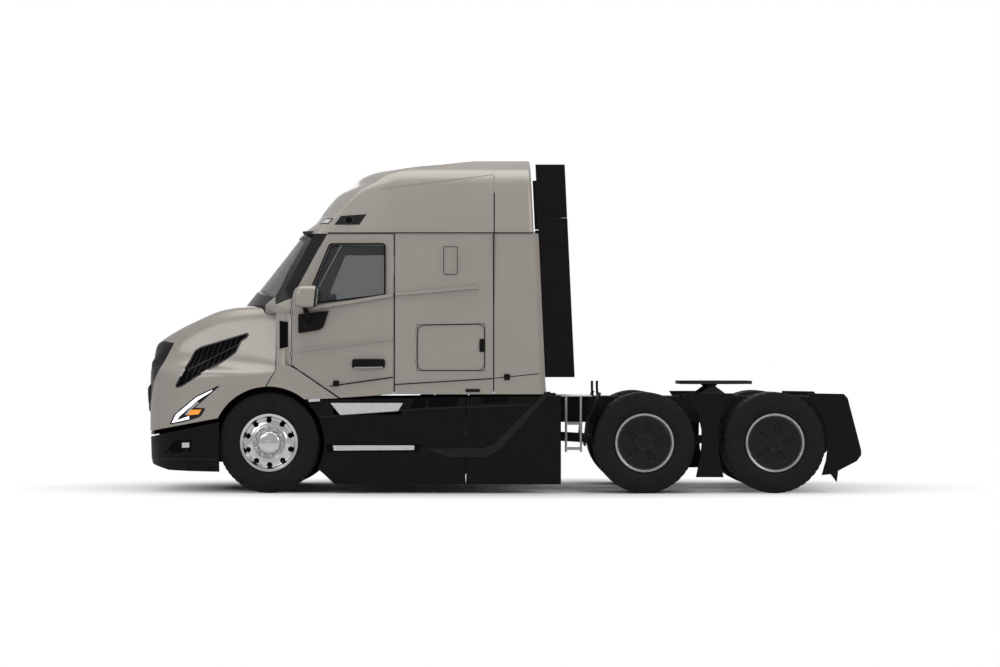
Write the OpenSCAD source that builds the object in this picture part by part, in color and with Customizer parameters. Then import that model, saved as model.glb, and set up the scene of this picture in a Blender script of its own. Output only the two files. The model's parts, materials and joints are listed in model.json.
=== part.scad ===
// Semi truck tractor unit with a sleeper cab, a steered front axle and two driven rear axles.
// Millimetres. +X forward, +Y to the left, +Z up. The origin is on the ground, midway between
// the bumper's front and the tail, on the centre line. Like pieces on both sides are mirrored.

/* [Overall] */
// Bumper front to the tail of the rear mudguards
overall_l = 7275; // [6063:1:8730]
// Bumper front to the front axle
nose_overhang = 1278; // [1180:1:1330]
// Rearmost axle to the tail of the mudguards
tail_overhang = 872; // [820:1:1046]
// Distance between the two driven axles
axle_spacing = 1320; // [1240:1:1584]
// Width of the cab and of the front fenders
cab_w = 2400; // [2380:1:2880]
// Ground to the top of the roof
total_h = 3425; // [3100:1:4110]

/* [Wheels] */
// Outer radius of every tyre
tyre_r = 513; // [470:1:525]
// Width of a tyre at its sidewalls
tyre_w = 280; // [233:1:290]
// Radius of the rim where the tyre sits
rim_r = 281; // [250:1:300]
// Distance between the front wheels' middle planes
front_track = 2060; // [2000:1:2080]
// Distance between the kingpins that the front wheels steer about
kingpin_track = 1780; // [1700:1:1780]
// Distance between the middle planes of the left and right twins
rear_track = 1824; // [1760:1:1850]
// Distance between the two tyres of a twin
twin_spacing = 335; // [300:1:345]

/* [Cab] */
// Front axle to the door's front edge
door_setback = 228; // [220:1:240]
// Length of the door
door_l = 1042; // [880:1:1250]
// Length of the sleeper's forward side panel
sleeper_l = 1010; // [842:1:1212]
// Length of the sleeper's rear side panel, at its foot
rear_panel_l = 528; // [440:1:634]
// Thickness of the cab's walls and doors
cab_t = 45; // [36:1:55]
// Lower edge of the cab's sides
sill_z = 1004; // [990:1:1030]
// Height of the joint between the cab's sides and its roof
roof_z = 2632; // [2632:1:2800]
// Gap around doors and between panels
panel_gap = 6; // [5:0.5:8]

/* [Hood] */
// Thickness of the hood's skin
hood_t = 30; // [24:1:36]
// Radius of the front wheel arch
arch_r = 570; // [560:1:590]
// Lower edge of the hood at the nose
hood_nose_z = 608; // [600:1:620]
// Height of the hinge at the nose
hood_pivot_z = 655; // [650:1:665]

/* [Frame] */
// Top of the frame rails
rail_top = 972; // [960:1:985]
// Height of a frame rail
rail_h = 267; // [240:1:280]
// Distance over the outer faces of both rails
rail_span = 860; // [840:1:880]
// Width of a rail's flanges
rail_flange = 89; // [74:1:100]
// Thickness of a rail's web and flanges
rail_t = 9; // [8:1:12]
// Top of the coupling plate
coupling_z = 1135; // [1120:1:1160]

/* [Hidden] */
$fn = 48;

front_x = overall_l / 2;
rear_x = -overall_l / 2;
axle_f = front_x - nose_overhang;
axle_r = rear_x + tail_overhang;
axle_m = axle_r + axle_spacing;
half_w = cab_w / 2;
door_x0 = axle_f - door_setback;
door_x1 = door_x0 - door_l;
sleeper_x1 = door_x1 - sleeper_l;
cab_back = sleeper_x1 - rear_panel_l;
// The back of the cab leans forward over its height
back_lean = 112;
rail_y = rail_span / 2;
// Round seats stand this far off what they carry
seat_gap = 0.3;
wheel_z = tyre_r;

// ---- helpers ----------------------------------------------------------------------------------

// A flat outline of [x, z] points as a plate from y0 to y1
module side_plate(points, y0, y1)
    translate([0, y1, 0]) rotate([90, 0, 0]) linear_extrude(y1 - y0) polygon(points);

// The same outline moved by dx and dz
function shifted(points, dx, dz) = [for (p = points) [p[0] + dx, p[1] + dz]];

// A flat outline of [y, z] points as a plate from x0 to x1
module front_plate(points, x0, x1)
    translate([x0, 0, 0]) rotate([90, 0, 90]) linear_extrude(x1 - x0) polygon(points);

// A block from its lowest to its highest corner
module block(low, high) translate(low) cube(high - low);

// A rod along Y
module rod_y(x, z, r, y0, y1) translate([x, y1, z]) rotate([90, 0, 0]) cylinder(h = y1 - y0, r = r);

// A rod along X
module rod_x(y, z, r, x0, x1) translate([x0, y, z]) rotate([0, 90, 0]) cylinder(h = x1 - x0, r = r);

// The children on both sides, or on the side named by s
module both_sides() for (s = [0, 1]) mirror([0, s, 0]) children();
module on_side(s) mirror([0, s < 0 ? 1 : 0, 0]) children();

// Curved panels are worked out as one mesh
module meshed() resize([0, 0, 0]) children();

// A closed solid through rings of points: every ring has the same count and runs
// counter-clockwise as seen from beyond the last ring
module loft(rings) {
    n = len(rings[0]);
    m = len(rings);
    skin = [for (i = [0:m - 2], j = [0:n - 1]) each let (a = i * n + j, b = i * n + (j + 1) % n)
        [[a, b + n, b], [a, a + n, b + n]]];
    first = [for (j = [0:n - 1]) j];
    last = [for (j = [n - 1:-1:0]) (m - 1) * n + j];
    polyhedron([for (r = rings) each r], concat(skin, [first, last]));
}

// ---- cab shell: one skin that every panel, door and pane is cut from ---------------------------

door_front_h = 1975;
roof_h = total_h - roof_z;
// Rows: height, front ahead of the door at the centre, how far its corners sit back, narrowing per side
cab_rows = [
    [sill_z - 36, 59, 0, 0],
    [1826, 59, 0, 0],
    [1830, 556, 396, 0],
    [1912, 560, 400, 4],
    [2085, 422, 366, 10],
    [roof_z, -13, 218, 25],
    for (r = [
        // share of the roof's height, then the same columns
        [0.06, -50, 220, 28], [0.24, -193, 245, 45], [0.40, -286, 275, 62], [0.58, -413, 310, 85],
        [0.66, -515, 330, 98], [0.765, -599, 360, 135], [0.83, -683, 380, 190], [0.88, -836, 400, 270],
        [0.915, -1052, 420, 340], [0.985, -1466, 440, 560], [1, -1822, 450, 800]
    ]) [roof_z + r[0] * roof_h, r[1], r[2], r[3]]
];
// The front corners stand in from the sides, and the rear corners are rounded
front_taper = 35;
corner_r = 40;

function cab_back_at(z) = cab_back + back_lean * (z - sill_z) / (total_h - sill_z);

// One level of the shell, its walls moved in by t
function cab_ring(row, t) = let (
        z = min(row[0], total_h - t),
        w = half_w - row[3] - t,
        wf = w - front_taper,
        xc = door_x0 + row[1] - t,
        back = cab_back_at(z) + t,
        corner = xc - row[2],
        side = min(door_x1, corner - 60)
    ) [
        for (i = [-8:8]) [xc - row[2] * pow(abs(i) / 8, 2.6), wf * i / 8, z],
        [side, w, z], [back + corner_r, w, z], [back, w - corner_r, z],
        [back, corner_r - w, z], [back + corner_r, -w, z], [side, -w, z]
    ];

module cab_body(t) {
    // The inner body runs on below the sill, so that the shell is open underneath
    under = t > 0 ? [[cab_rows[0][0] - 100, cab_rows[0][1], cab_rows[0][2], cab_rows[0][3]]] : [];
    loft([for (row = concat(under, cab_rows)) cab_ring(row, t)]);
}

module cab_shell(outer = 0, inner = cab_t) difference() {
    cab_body(outer);
    cab_body(inner);
}

// Above the belt the door's front edge follows the windshield's pillar
pillar_x = door_x0 - 356;
// The door's lower front corner is cut off along the wheel arch
door_toe_x = door_x0 - 495;
door_toe_h = 1301;
door_points = [
    [door_x0 - panel_gap, door_toe_h], [door_x0 - panel_gap, door_front_h],
    [pillar_x - panel_gap, roof_z - panel_gap], [door_x1 + panel_gap, roof_z - panel_gap],
    [door_x1 + panel_gap, sill_z], [door_toe_x, sill_z - 36]
];
door_window = [
    [door_x0 - 221, 2090], [door_x0 - 257, 1935], [door_x1 + 101, 2018],
    [door_x1 + 101, 2517], [door_x0 - 400, 2517]
];
// The luggage door in the sleeper's side, hinged at its front edge
luggage_x0 = door_x1 - 229;
luggage_l = 693;
luggage_z0 = 1239;
luggage_h = 470;
luggage_points = [
    [luggage_x0, luggage_z0], [luggage_x0, luggage_z0 + luggage_h],
    [luggage_x0 - luggage_l, luggage_z0 + luggage_h + 12], [luggage_x0 - luggage_l, luggage_z0]
];
windshield_points = [
    [-(half_w - 115), 1990], [-600, 2050], [0, 2085], [600, 2050], [half_w - 115, 1990],
    [half_w - 200, 2600], [0, 2622], [-(half_w - 200), 2600]
];

// A prism through one side of the cab
module side_prism(points) side_plate(points, half_w - 300, half_w + 100);

// Both side walls of the shell between two planes, up to the roof's joint
module side_walls(x_front, x_back) intersection() {
    cab_shell();
    both_sides() side_prism([
        [x_front, sill_z], [x_front, roof_z], [x_back, roof_z], [x_back, sill_z]
    ]);
}

// ---- hinges of the doors ------------------------------------------------------------------------
// Each hinge has two lugs and a pin on the cab, and an eye between them on the door

hinge_pin_r = 5;
hinge_eye_r = 8;
hinge_clear = 0.05;
eye_h = 28;
lug_h = 15;
lug_gap = 1;
pocket_r = 14;
// Sides of the cab at the two hinge lines, and the hinge heights
door_hinge_y = half_w - front_taper + 3;
luggage_hinge_y = half_w + 1;
door_hinge_h = [1420, 1840];
luggage_hinge_h = [luggage_z0 + 90, luggage_z0 + luggage_h - 90];

module hinge_barrel(x, y, z, h, leaf) {
    translate([x, y, z - h / 2]) cylinder(h = h, r = hinge_eye_r);
    block([min(x, x + leaf), y - hinge_eye_r - 4, z - h / 2], [max(x, x + leaf), y - 1, z + h / 2]);
}

// Lugs and pins on the fixed side, which is ahead of the line
module hinge_lugs(x, y, heights) for (z = heights) {
    for (s = [-1, 1]) hinge_barrel(x, y, z + s * (eye_h / 2 + lug_gap + lug_h / 2), lug_h, 24);
    translate([x, y, z - eye_h / 2 - 2]) cylinder(h = eye_h + 4, r = hinge_pin_r);
}

module hinge_eyes(x, y, heights) for (z = heights) difference() {
    hinge_barrel(x, y, z, eye_h, -24);
    translate([x, y, z - eye_h]) cylinder(h = 2 * eye_h, r = hinge_pin_r + hinge_clear);
}

// Room for the eyes in the fixed side, and for the lugs in the door
module eye_pockets(x, y, heights) for (z = heights)
    translate([x, y, z - eye_h / 2 - lug_gap]) cylinder(h = eye_h + 2 * lug_gap, r = pocket_r);

module lug_pockets(x, y, heights) for (z = heights, s = [-1, 1])
    translate([x, y, z + s * (eye_h / 2 + lug_gap + lug_h / 2) - lug_h / 2 - lug_gap])
        cylinder(h = lug_h + 2 * lug_gap, r = pocket_r);

// The panels stay clear of the pin inside the eye
module pin_pockets(x, y, heights) for (z = heights)
    translate([x, y, z - eye_h / 2]) cylinder(h = eye_h, r = hinge_pin_r + 1);

door_hinge_x = door_x0 - panel_gap / 2;
luggage_hinge_x = luggage_x0 - panel_gap / 2;

// ---- cab ------------------------------------------------------------------------------------------

floor_z = 1050;
floor_t = 50;
// Front fenders are this deep behind the fender's outer face
fender_t = 60;

module cab_front() color("#a49d95") {
    meshed() difference() {
            intersection() {
                cab_shell();
                side_plate([
                    [door_x0, sill_z - 36], [door_x0, door_front_h], [pillar_x, roof_z],
                    [front_x, roof_z], [front_x, sill_z - 36]
                ], -half_w - 10, half_w + 10);
            }
            front_plate(windshield_points, pillar_x - 200, front_x);
            // The fender's tail takes the place of the lower side wall
            both_sides() block([door_x0 - 10, half_w - fender_t - 1, 900], [front_x, half_w + 10, door_toe_h]);
            both_sides() eye_pockets(door_hinge_x, door_hinge_y, door_hinge_h);
            block([door_x1, -half_w - 10, 900], [front_x, half_w + 10, floor_z]);
        }
    both_sides() hinge_lugs(door_hinge_x, door_hinge_y, door_hinge_h);
}

module windshield() color([0.2, 0.22, 0.24, 0.6]) meshed() intersection() {
    cab_shell(12, 20);
    front_plate(windshield_points, pillar_x - 200, front_x);
}

module sleeper_sides() color("#a49d95") {
    meshed() difference() {
        side_walls(door_x1, sleeper_x1 + panel_gap / 2);
        both_sides() {
            side_prism(luggage_points);
            eye_pockets(luggage_hinge_x, luggage_hinge_y, luggage_hinge_h);
        }
    }
    both_sides() hinge_lugs(luggage_hinge_x, luggage_hinge_y, luggage_hinge_h);
}

module rear_sides() color("#a49d95") meshed() difference() {
    side_walls(sleeper_x1 - panel_gap / 2, cab_back - 10);
    back_region();
}

// The back wall is what lies behind the inner faces of the leaning back
module back_region() side_plate([
    [cab_back_at(sill_z) + cab_t + 3, sill_z], [cab_back_at(roof_z) + cab_t + 3, roof_z],
    [cab_back - 100, roof_z], [cab_back - 100, sill_z]
], -half_w - 10, half_w + 10);

module back_wall() color("#8d8781") meshed() intersection() {
    cab_shell();
    back_region();
}

module roof() color("#a49d95") meshed() intersection() {
    cab_shell();
    block([cab_back - 100, -half_w - 10, roof_z], [front_x, half_w + 10, total_h + 10]);
}

module side_door(s) color("#a49d95") on_side(s) {
    meshed() difference() {
        intersection() {
            cab_shell();
            side_prism(door_points);
        }
        side_prism(door_window);
        lug_pockets(door_hinge_x, door_hinge_y, door_hinge_h);
        pin_pockets(door_hinge_x, door_hinge_y, door_hinge_h);
    }
    hinge_eyes(door_hinge_x, door_hinge_y, door_hinge_h);
}

module door_glass(s) color([0.2, 0.22, 0.24, 0.6]) on_side(s) meshed() intersection() {
    cab_shell(15, 21);
    side_prism(door_window);
}

module luggage_door(s) color("#a49d95") on_side(s) {
    g = panel_gap;
    meshed() difference() {
        intersection() {
            cab_shell();
            side_prism([
                [luggage_x0 - g, luggage_z0 + g], [luggage_x0 - g, luggage_z0 + luggage_h - g],
                [luggage_x0 - luggage_l + g, luggage_z0 + luggage_h + 12 - g],
                [luggage_x0 - luggage_l + g, luggage_z0 + g]
            ]);
        }
        lug_pockets(luggage_hinge_x, luggage_hinge_y, luggage_hinge_h);
        pin_pockets(luggage_hinge_x, luggage_hinge_y, luggage_hinge_h);
    }
    hinge_eyes(luggage_hinge_x, luggage_hinge_y, luggage_hinge_h);
}

module mirror_unit(s) color("#2a2a2a") on_side(s) meshed() {
    // Head, arm and the plate that holds the arm to the door
    x = door_x0 - 150;
    translate([x, half_w + 170, 1980]) hull() {
        translate([60, -70, -80]) sphere(r = 40, $fn = 20);
        translate([60, 60, -80]) sphere(r = 40, $fn = 20);
        translate([-30, -80, 70]) sphere(r = 40, $fn = 20);
        translate([-30, 60, 70]) sphere(r = 40, $fn = 20);
        translate([-40, 60, -100]) sphere(r = 40, $fn = 20);
        translate([-40, -80, -100]) sphere(r = 40, $fn = 20);
    }
    hull() {
        translate([x - 10, half_w + 130, 1870]) sphere(r = 32, $fn = 20);
        translate([x - 40, half_w + 20, 1720]) sphere(r = 32, $fn = 20);
    }
    difference() {
        side_plate([
            [door_x0 - 75, 1802], [door_x0 - 380, 1846], [door_x0 - 330, 1680], [door_x0 - 75, 1620]
        ], half_w - 60, half_w + 2);
        cab_body(0);
    }
}

module cowl_sides() color("#a49d95") both_sides() {
    hood_line = cowl_side_front;
    difference() {
        union() {
            // Beside the cowl, between the hood and the door
            side_plate([
                [door_x0 + 60, door_toe_h], [door_x0 + 60, 1826], [hood_line, 1826], [hood_line, door_toe_h]
            ], half_w - front_taper - 40, half_w - front_taper);
            // The fender's tail behind the wheel arch
            side_plate([
                [hood_line, door_toe_h], [hood_line, 1250], [hood_line + 98, 1083],
                [axle_f - 100, wheel_z + 400], [axle_f - 365, 953], [door_toe_x + 20, sill_z - 40],
                // Clear of the door's edge as it swings
                [door_x0 - 40, door_toe_h - 39], [door_x0 + 45, door_toe_h]
            ], half_w - fender_t, half_w);
        }
        rod_y(axle_f, wheel_z, arch_r, half_w - 100, half_w + 100);
    }
}

floor_back = cab_back_at(floor_z + floor_t) + cab_t + 3;
module cab_floor() color("#3a3a3a") {
    block([floor_back + corner_r, -(half_w - cab_t), floor_z], [door_x1, half_w - cab_t, floor_z + floor_t]);
    block([floor_back, -(half_w - cab_t - corner_r), floor_z],
        [floor_back + corner_r, half_w - cab_t - corner_r, floor_z + floor_t]);
    block([door_x1, -(half_w - 100), floor_z], [door_x0 + 14, half_w - 100, floor_z + floor_t]);
}

dash_x = door_x0 - 330;
dash_front = door_x0 + cab_rows[0][1] - cab_t - seat_gap;
wheel_rim_r = 225;
wheel_hub_x = dash_x - 90;
wheel_hub_z = 1810;
column_tilt = 62;
column_l = 170;
column_r = 30;
seat_y = 560;
module dashboard() color("#2e2c2a") difference() {
    side_plate([
        [dash_front, 1310], [dash_front, 1820], [dash_x + 200, 1880], [dash_x + 40, 1850],
        [dash_x, 1700], [dash_x + 120, 1450], [dash_x + 130, 1310]
    ], -(half_w - 110), half_w - 110);
    // Seat of the steering column
    translate([wheel_hub_x, seat_y, wheel_hub_z]) rotate([0, -column_tilt, 0])
        translate([0, 0, -column_l - 0.3]) cylinder(h = column_l, r = column_r + 0.3);
}

seat_x = door_x1 + 60;
module seats() color("#3b3936") both_sides() {
    side_plate([
        [seat_x + 40, floor_z + floor_t], [seat_x + 60, 1420], [seat_x + 500, 1420], [seat_x + 480, floor_z + floor_t]
    ], seat_y - 200, seat_y + 200);
    side_plate([
        [seat_x, 1420], [seat_x - 120, 2230], [seat_x - 20, 2240], [seat_x + 110, 1570],
        [seat_x + 540, 1560], [seat_x + 550, 1420]
    ], seat_y - 250, seat_y + 250);
}

bunk_w = 720;
bunk_top = 1720;
bunk_x0 = cab_back_at(bunk_top) + cab_t + corner_r + 4;
module bunk() color("#4a4743") {
    block([bunk_x0, -(half_w - cab_t - 1), floor_z + floor_t], [bunk_x0 + bunk_w, half_w - cab_t - 1, 1560]);
    block([bunk_x0, -(half_w - cab_t - 11), 1560], [bunk_x0 + bunk_w - 20, half_w - cab_t - 11, bunk_top]);
}

module steering_wheel() color("#222222")
    translate([wheel_hub_x, seat_y, wheel_hub_z]) rotate([0, -column_tilt, 0]) {
        rotate_extrude() translate([wheel_rim_r - 17, 0]) circle(r = 17, $fn = 24);
        cylinder(h = 40, r = 75, center = true);
        for (a = [90, 210, 330]) rotate([0, 0, a]) block([50, -20, -10], [wheel_rim_r - 15, 20, 10]);
        translate([0, 0, -column_l]) cylinder(h = column_l, r = column_r);
    }

// ---- side extenders behind the cab ------------------------------------------------------------------

extender_l = 300;
extender_split = 2794;
module side_extenders() color("#1c1c1c") both_sides()
    for (part = [[sill_z + 172, extender_split - 3, 60], [extender_split + 3, total_h - 87, 110]]) {
        z0 = part[0];
        z1 = part[1];
        side_plate([
            [cab_back_at(z0) - 1, z0], [cab_back_at(z1) - 1, z1],
            [cab_back_at(z1) - extender_l, z1], [cab_back_at(z0) - extender_l, z0]
        ], half_w - part[2] - 30, half_w - part[2]);
    }

// ---- hood ----------------------------------------------------------------------------------------------

hood_gap = 12;
// Front of the cowl's side panel, which the hood closes against
cowl_side_front = door_x0 + 152;
// Stations: behind the bumper's front, fender half width lost, shoulder half width lost,
// shoulder height, top height
hood_rows = [
    [15, 640, 700, 640, 700], [25, 420, 560, 1000, 1100], [45, 330, 500, 1280, 1380],
    [78, 250, 450, 1430, 1525], [130, 175, 405, 1470, 1570], [329, 60, 320, 1585, 1690],
    [490, 20, 290, 1665, 1767], [752, 0, 265, 1775, 1876], [921, 0, 250, 1815, 1910],
    [1158, 0, 225, 1845, 1920], [1400, 0, 190, 1860, 1925]
];
crease_z = 1215;

// One section of the hood, its skin moved in by t: fender, crease, side, shoulder and crown
function hood_ring(row, t) = let (
        x = front_x - row[0] - (row[0] < 100 ? t : 0),
        wf = half_w - row[1] - t,
        ws = min(half_w - row[2] - t, wf - 5),
        zs = row[3] - t,
        zt = row[4] - t,
        zc = min(crease_z, zs - 30) - t / 2,
        wb = max(ws + 3, min(wf - 3, ws + 0.62 * (half_w - row[2] + 45 - ws) + 120)),
        half = [
            [wf, 300], [wf, zc - 90], [wf - 2, zc], [min(wf - 3, wb), min(zs - 20, zc + 90)],
            [ws, zs], [ws - 55, zs + (zt - zs) * 0.55], [ws * 0.62, zt - (zt - zs) * 0.12], [0, zt]
        ]
    ) concat(
        [for (p = half) [x, p[0], p[1]]],
        [for (i = [6:-1:0]) [x, -half[i][0], half[i][1]]]
    );

module hood_body(t) {
    n = len(hood_rows);
    // The inner body runs on at the back, so that the shell is open there
    rows = t > 0 ? concat(hood_rows, [[1600, 0, 190, 1860, 1925]]) : hood_rows;
    loft([for (i = [len(rows) - 1:-1:0]) hood_ring(rows[i], t)]);
}

function cowl_front(y) = door_x0 + 560 - 400 * pow(min(1, abs(y) / (half_w - front_taper)), 2.6);

module hood_shell() difference() {
    hood_body(0);
    hood_body(hood_t);
    // Lower edge, rising from the nose to the wheel arch
    side_plate([
        [front_x + 50, 200], [front_x + 50, hood_nose_z], [front_x - 760, hood_nose_z + 142],
        [axle_f - 400, hood_nose_z + 142], [axle_f - 400, 200]
    ], -half_w - 10, half_w + 10);
    rod_y(axle_f, wheel_z, arch_r, -half_w - 10, half_w + 10);
    // Rear edge: it runs round the cowl, and leans forward down the fender
    translate([0, 0, 200]) linear_extrude(2500) polygon(concat(
        [for (i = [-10:10]) let (y = (half_w - front_taper) * i / 10) [cowl_front(y) + hood_gap, y]],
        [[cowl_side_front + hood_gap, half_w + 20], [axle_f - 2000, half_w + 20],
         [axle_f - 2000, -half_w - 20], [cowl_side_front + hood_gap, -half_w - 20]]
    ));
    both_sides() side_prism([
        [cowl_side_front + hood_gap - 1, 1250], [cowl_side_front + 98 + hood_gap, 1083],
        [axle_f, 900], [axle_f - 400, 900], [axle_f - 400, 1250]
    ]);
}

grille_top = 1470;
grille_low = 670;
grille_points = [
    [-380, grille_low], [380, grille_low], [560, grille_top - 90], [520, grille_top],
    [-520, grille_top], [-560, grille_top - 90]
];
hood_vent = [
    [front_x - 343, 1082], [front_x - 522, 1443], [front_x - 575, 1475], [front_x - 1052, 1617],
    [front_x - 980, 1552], [front_x - 925, 1437], [front_x - 775, 1328], [front_x - 391, 1095]
];
headlamp = [
    [front_x - 275, 701], [front_x - 327, 798], [front_x - 546, 979], [front_x - 778, 1088],
    [front_x - 675, 1000], [front_x - 594, 858], [front_x - 500, 770], [front_x - 440, 742]
];

module hood() color("#a49d95") {
    meshed() difference() {
        hood_shell();
        front_plate(grille_points, front_x - 200, front_x + 10);
        both_sides() {
            side_prism(hood_vent);
            side_prism(headlamp);
        }
    }
}

module grilles() color("#161616") meshed() {
    intersection() {
        hood_shell();
        front_plate(grille_points, front_x - 200, front_x + 10);
    }
    both_sides() intersection() {
        hood_shell();
        side_prism(hood_vent);
    }
}

module headlamps() color("#d8dde2") meshed() both_sides() intersection() {
    hood_shell();
    side_prism(headlamp);
}

// The hood tilts about pins on two arms of the front crossmember
hood_pivot_x = front_x - 85;
hood_pin_r = 14;
hood_pin_y = 450;

module hood_hinges() color("#303030") both_sides() {
    difference() {
        union() {
            rod_y(hood_pivot_x, hood_pivot_z, 28, hood_pin_y - 15, hood_pin_y + 15);
            block([hood_pivot_x - 20, hood_pin_y - 15, hood_pivot_z], [hood_pivot_x + 10, hood_pin_y + 15, 900]);
        }
        rod_y(hood_pivot_x, hood_pivot_z, hood_pin_r + 0.05, hood_pin_y - 20, hood_pin_y + 20);
    }
    // Pad that carries the skin, shaped to the inside of the nose
    meshed() intersection() {
        block([hood_pivot_x + 9, hood_pin_y - 15, 740], [front_x, hood_pin_y + 15, 900]);
        hood_body(hood_t + seat_gap);
    }
}

// ---- bumper ----------------------------------------------------------------------------------------------

bumper_end_x = axle_f + 500;
bumper_nose_z = 558;
// Rows: height, set back of the front, and of the sides
bumper_rows = [[150, 60, 45], [230, 30, 14], [353, 6, 0], [560, 0, 0], [800, 0, 0]];
function bumper_ring(row, tx, ty) = let (w = half_w - row[2] - ty, x = front_x - row[1] - tx) concat(
    [for (i = [-10:10]) let (s = i / 10) [
        x - 35 * pow(abs(s), 2) - 400 * pow(max(0, abs(s) - 0.45) / 0.55, 3), w * s, row[0]
    ]],
    [[bumper_end_x - (tx > 0 ? 50 : 0), w, row[0]], [bumper_end_x - (tx > 0 ? 50 : 0), -w, row[0]]]
);

beam_y = rail_y - 40;
module front_bumper() color("#1f1f20") meshed() {
    difference() {
        loft([for (r = bumper_rows) bumper_ring(r, 0, 0)]);
        // The inner body runs on past both open edges
        loft([for (r = bumper_rows) bumper_ring([r[0] + (r[0] < 200 ? -20 : r[0] > 700 ? 20 : 0), r[1], r[2]], 40, 20)]);
        side_plate([
            [front_x + 10, bumper_nose_z], [bumper_end_x - 60, 737], [bumper_end_x - 60, 900],
            [front_x + 10, 900]
        ], -half_w - 10, half_w + 10);
        side_plate([
            [front_x + 10, 300], [front_x - 250, 232], [bumper_end_x - 60, 217],
            [bumper_end_x - 60, 100], [front_x + 10, 100]
        ], -half_w - 10, half_w + 10);
    }
    // Beams from the inner face back to the rails
    both_sides() {
        block([frame_front, rail_y - rail_flange, 380], [frame_front + 20, beam_y, rail_low + 20]);
        block([frame_front, rail_y - rail_flange, 380], [front_x - 30, beam_y, 460]);
    }
}

// ---- frame --------------------------------------------------------------------------------------------------

frame_front = front_x - 238;
frame_back = axle_r - 700;
rail_low = rail_top - rail_h;

module frame_rails() color("#5c5a57") both_sides() difference() {
    block([frame_back, rail_y - rail_flange, rail_low], [frame_front, rail_y, rail_top]);
    block([frame_back - 1, rail_y - rail_flange - 1, rail_low + rail_t], [frame_front + 1, rail_y - rail_t, rail_top - rail_t]);
}

module crossmembers() color("#4e4c4a") {
    // Between the rails' flanges: position along the frame
    for (x = [frame_front - 60, door_x1 - 150, cab_back - 250, axle_m + 660, axle_r - 450])
        block([x, -(rail_y - rail_t), rail_low + 60], [x + 60, rail_y - rail_t, rail_top - 15]);
    // Arms ahead of the front one, with the pins that the hood tilts on
    both_sides() {
        side_plate([
            [frame_front, 730], [frame_front, 860], [hood_pivot_x + 10, hood_pivot_z + 25],
            [hood_pivot_x + 25, hood_pivot_z], [hood_pivot_x + 10, hood_pivot_z - 25], [hood_pivot_x - 60, hood_pivot_z - 25]
        ], hood_pin_y - 50, hood_pin_y - 25);
        rod_y(hood_pivot_x, hood_pivot_z, hood_pin_r, hood_pin_y - 26, hood_pin_y + 18);
    }
    // Cab mounts between the rails and the cab's floor
    both_sides() for (x = [door_x0 - 80, door_x1 - 300, cab_back + 130])
        block([x - 60, rail_y - rail_flange, rail_top], [x + 60, rail_y, floor_z]);
}

module engine() color("#6b6a68") {
    block([door_x0 + 66, -290, 640], [axle_f + 700, 290, 1640]);
    block([door_x1 + 200, -220, 600], [door_x0 + 66, 220, 1020]);
    // Mounts between the rails' webs
    for (x = [door_x0 + 200, axle_f + 560])
        block([x, -(rail_y - rail_t), 760], [x + 90, rail_y - rail_t, 820]);
}

module radiator() color("#2a2a2a")
    block([axle_f + 790, -(rail_y - rail_flange), 720], [axle_f + 940, rail_y - rail_flange, 1480]);

// ---- front axle and steering -----------------------------------------------------------------------------

kingpin_y = kingpin_track / 2;
kingpin_r = 25;
pin_clear = 0.05;
boss_r = 45;
boss_h = 110;
yoke_h = 45;
yoke_gap = 1.5;
yoke_top = boss_h / 2 + yoke_gap;
spindle_r = 35;
front_wheel_y = front_track / 2;
// The steering arms are parallel to the frame, so both wheels turn by the same angle
arm_l = 180;
arm_t = 24;
arm_z = wheel_z - yoke_top - yoke_h;
tie_pin_r = 12;
spring_y = rail_y - rail_flange / 2;

module front_axle() color("#4c4a48") {
    difference() {
        union() {
            block([axle_f - 45, -760, 420], [axle_f + 45, 760, 530]);
            both_sides() {
                side_axle_end();
                block([axle_f - 70, spring_y - 45, 530], [axle_f + 70, spring_y + 45, 575]);
            }
        }
    }
}

module side_axle_end() {
    block([axle_f - 40, 740, wheel_z - boss_h / 2 + 2], [axle_f + 40, kingpin_y, wheel_z + boss_h / 2 - 10]);
    translate([axle_f, kingpin_y, wheel_z - boss_h / 2]) cylinder(h = boss_h, r = boss_r);
    translate([axle_f, kingpin_y, wheel_z - yoke_top - yoke_h]) cylinder(h = 2 * (yoke_top + yoke_h), r = kingpin_r);
}

module front_springs() color("#3a3938") both_sides() {
    side_plate([
        [axle_f - 640, rail_low], [axle_f - 640, 640], [axle_f - 560, 600], [axle_f - 200, 575],
        [axle_f + 200, 575], [axle_f + 560, 600], [axle_f + 640, 640], [axle_f + 640, rail_low],
        [axle_f + 580, rail_low], [axle_f + 560, 650], [axle_f + 200, 620], [axle_f - 200, 620],
        [axle_f - 560, 650], [axle_f - 580, rail_low]
    ], spring_y - 38, spring_y + 38);
}

module knuckle(s) color("#55524f") on_side(s) {
    difference() {
        union() {
            for (z = [wheel_z - yoke_top - yoke_h, wheel_z + yoke_top])
                translate([axle_f, kingpin_y, z]) {
                    cylinder(h = yoke_h, r = 50);
                    translate([-45, 0, 0]) cube([90, 75, yoke_h]);
                }
            block([axle_f - 60, kingpin_y + 52, wheel_z - yoke_top - yoke_h],
                [axle_f + 60, kingpin_y + 75, wheel_z + yoke_top + yoke_h]);
            rod_y(axle_f, wheel_z, spindle_r, kingpin_y + 60, front_wheel_y + 58);
            block([axle_f - arm_l, kingpin_y - 16, arm_z], [axle_f, kingpin_y + 16, arm_z + arm_t]);
            translate([axle_f - arm_l, kingpin_y, arm_z]) cylinder(h = arm_t, r = 24);
        }
        translate([axle_f, kingpin_y, 0]) cylinder(h = 2 * wheel_z, r = kingpin_r + pin_clear);
        translate([axle_f - arm_l, kingpin_y, 0]) cylinder(h = wheel_z, r = tie_pin_r + pin_clear);
    }
}

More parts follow.
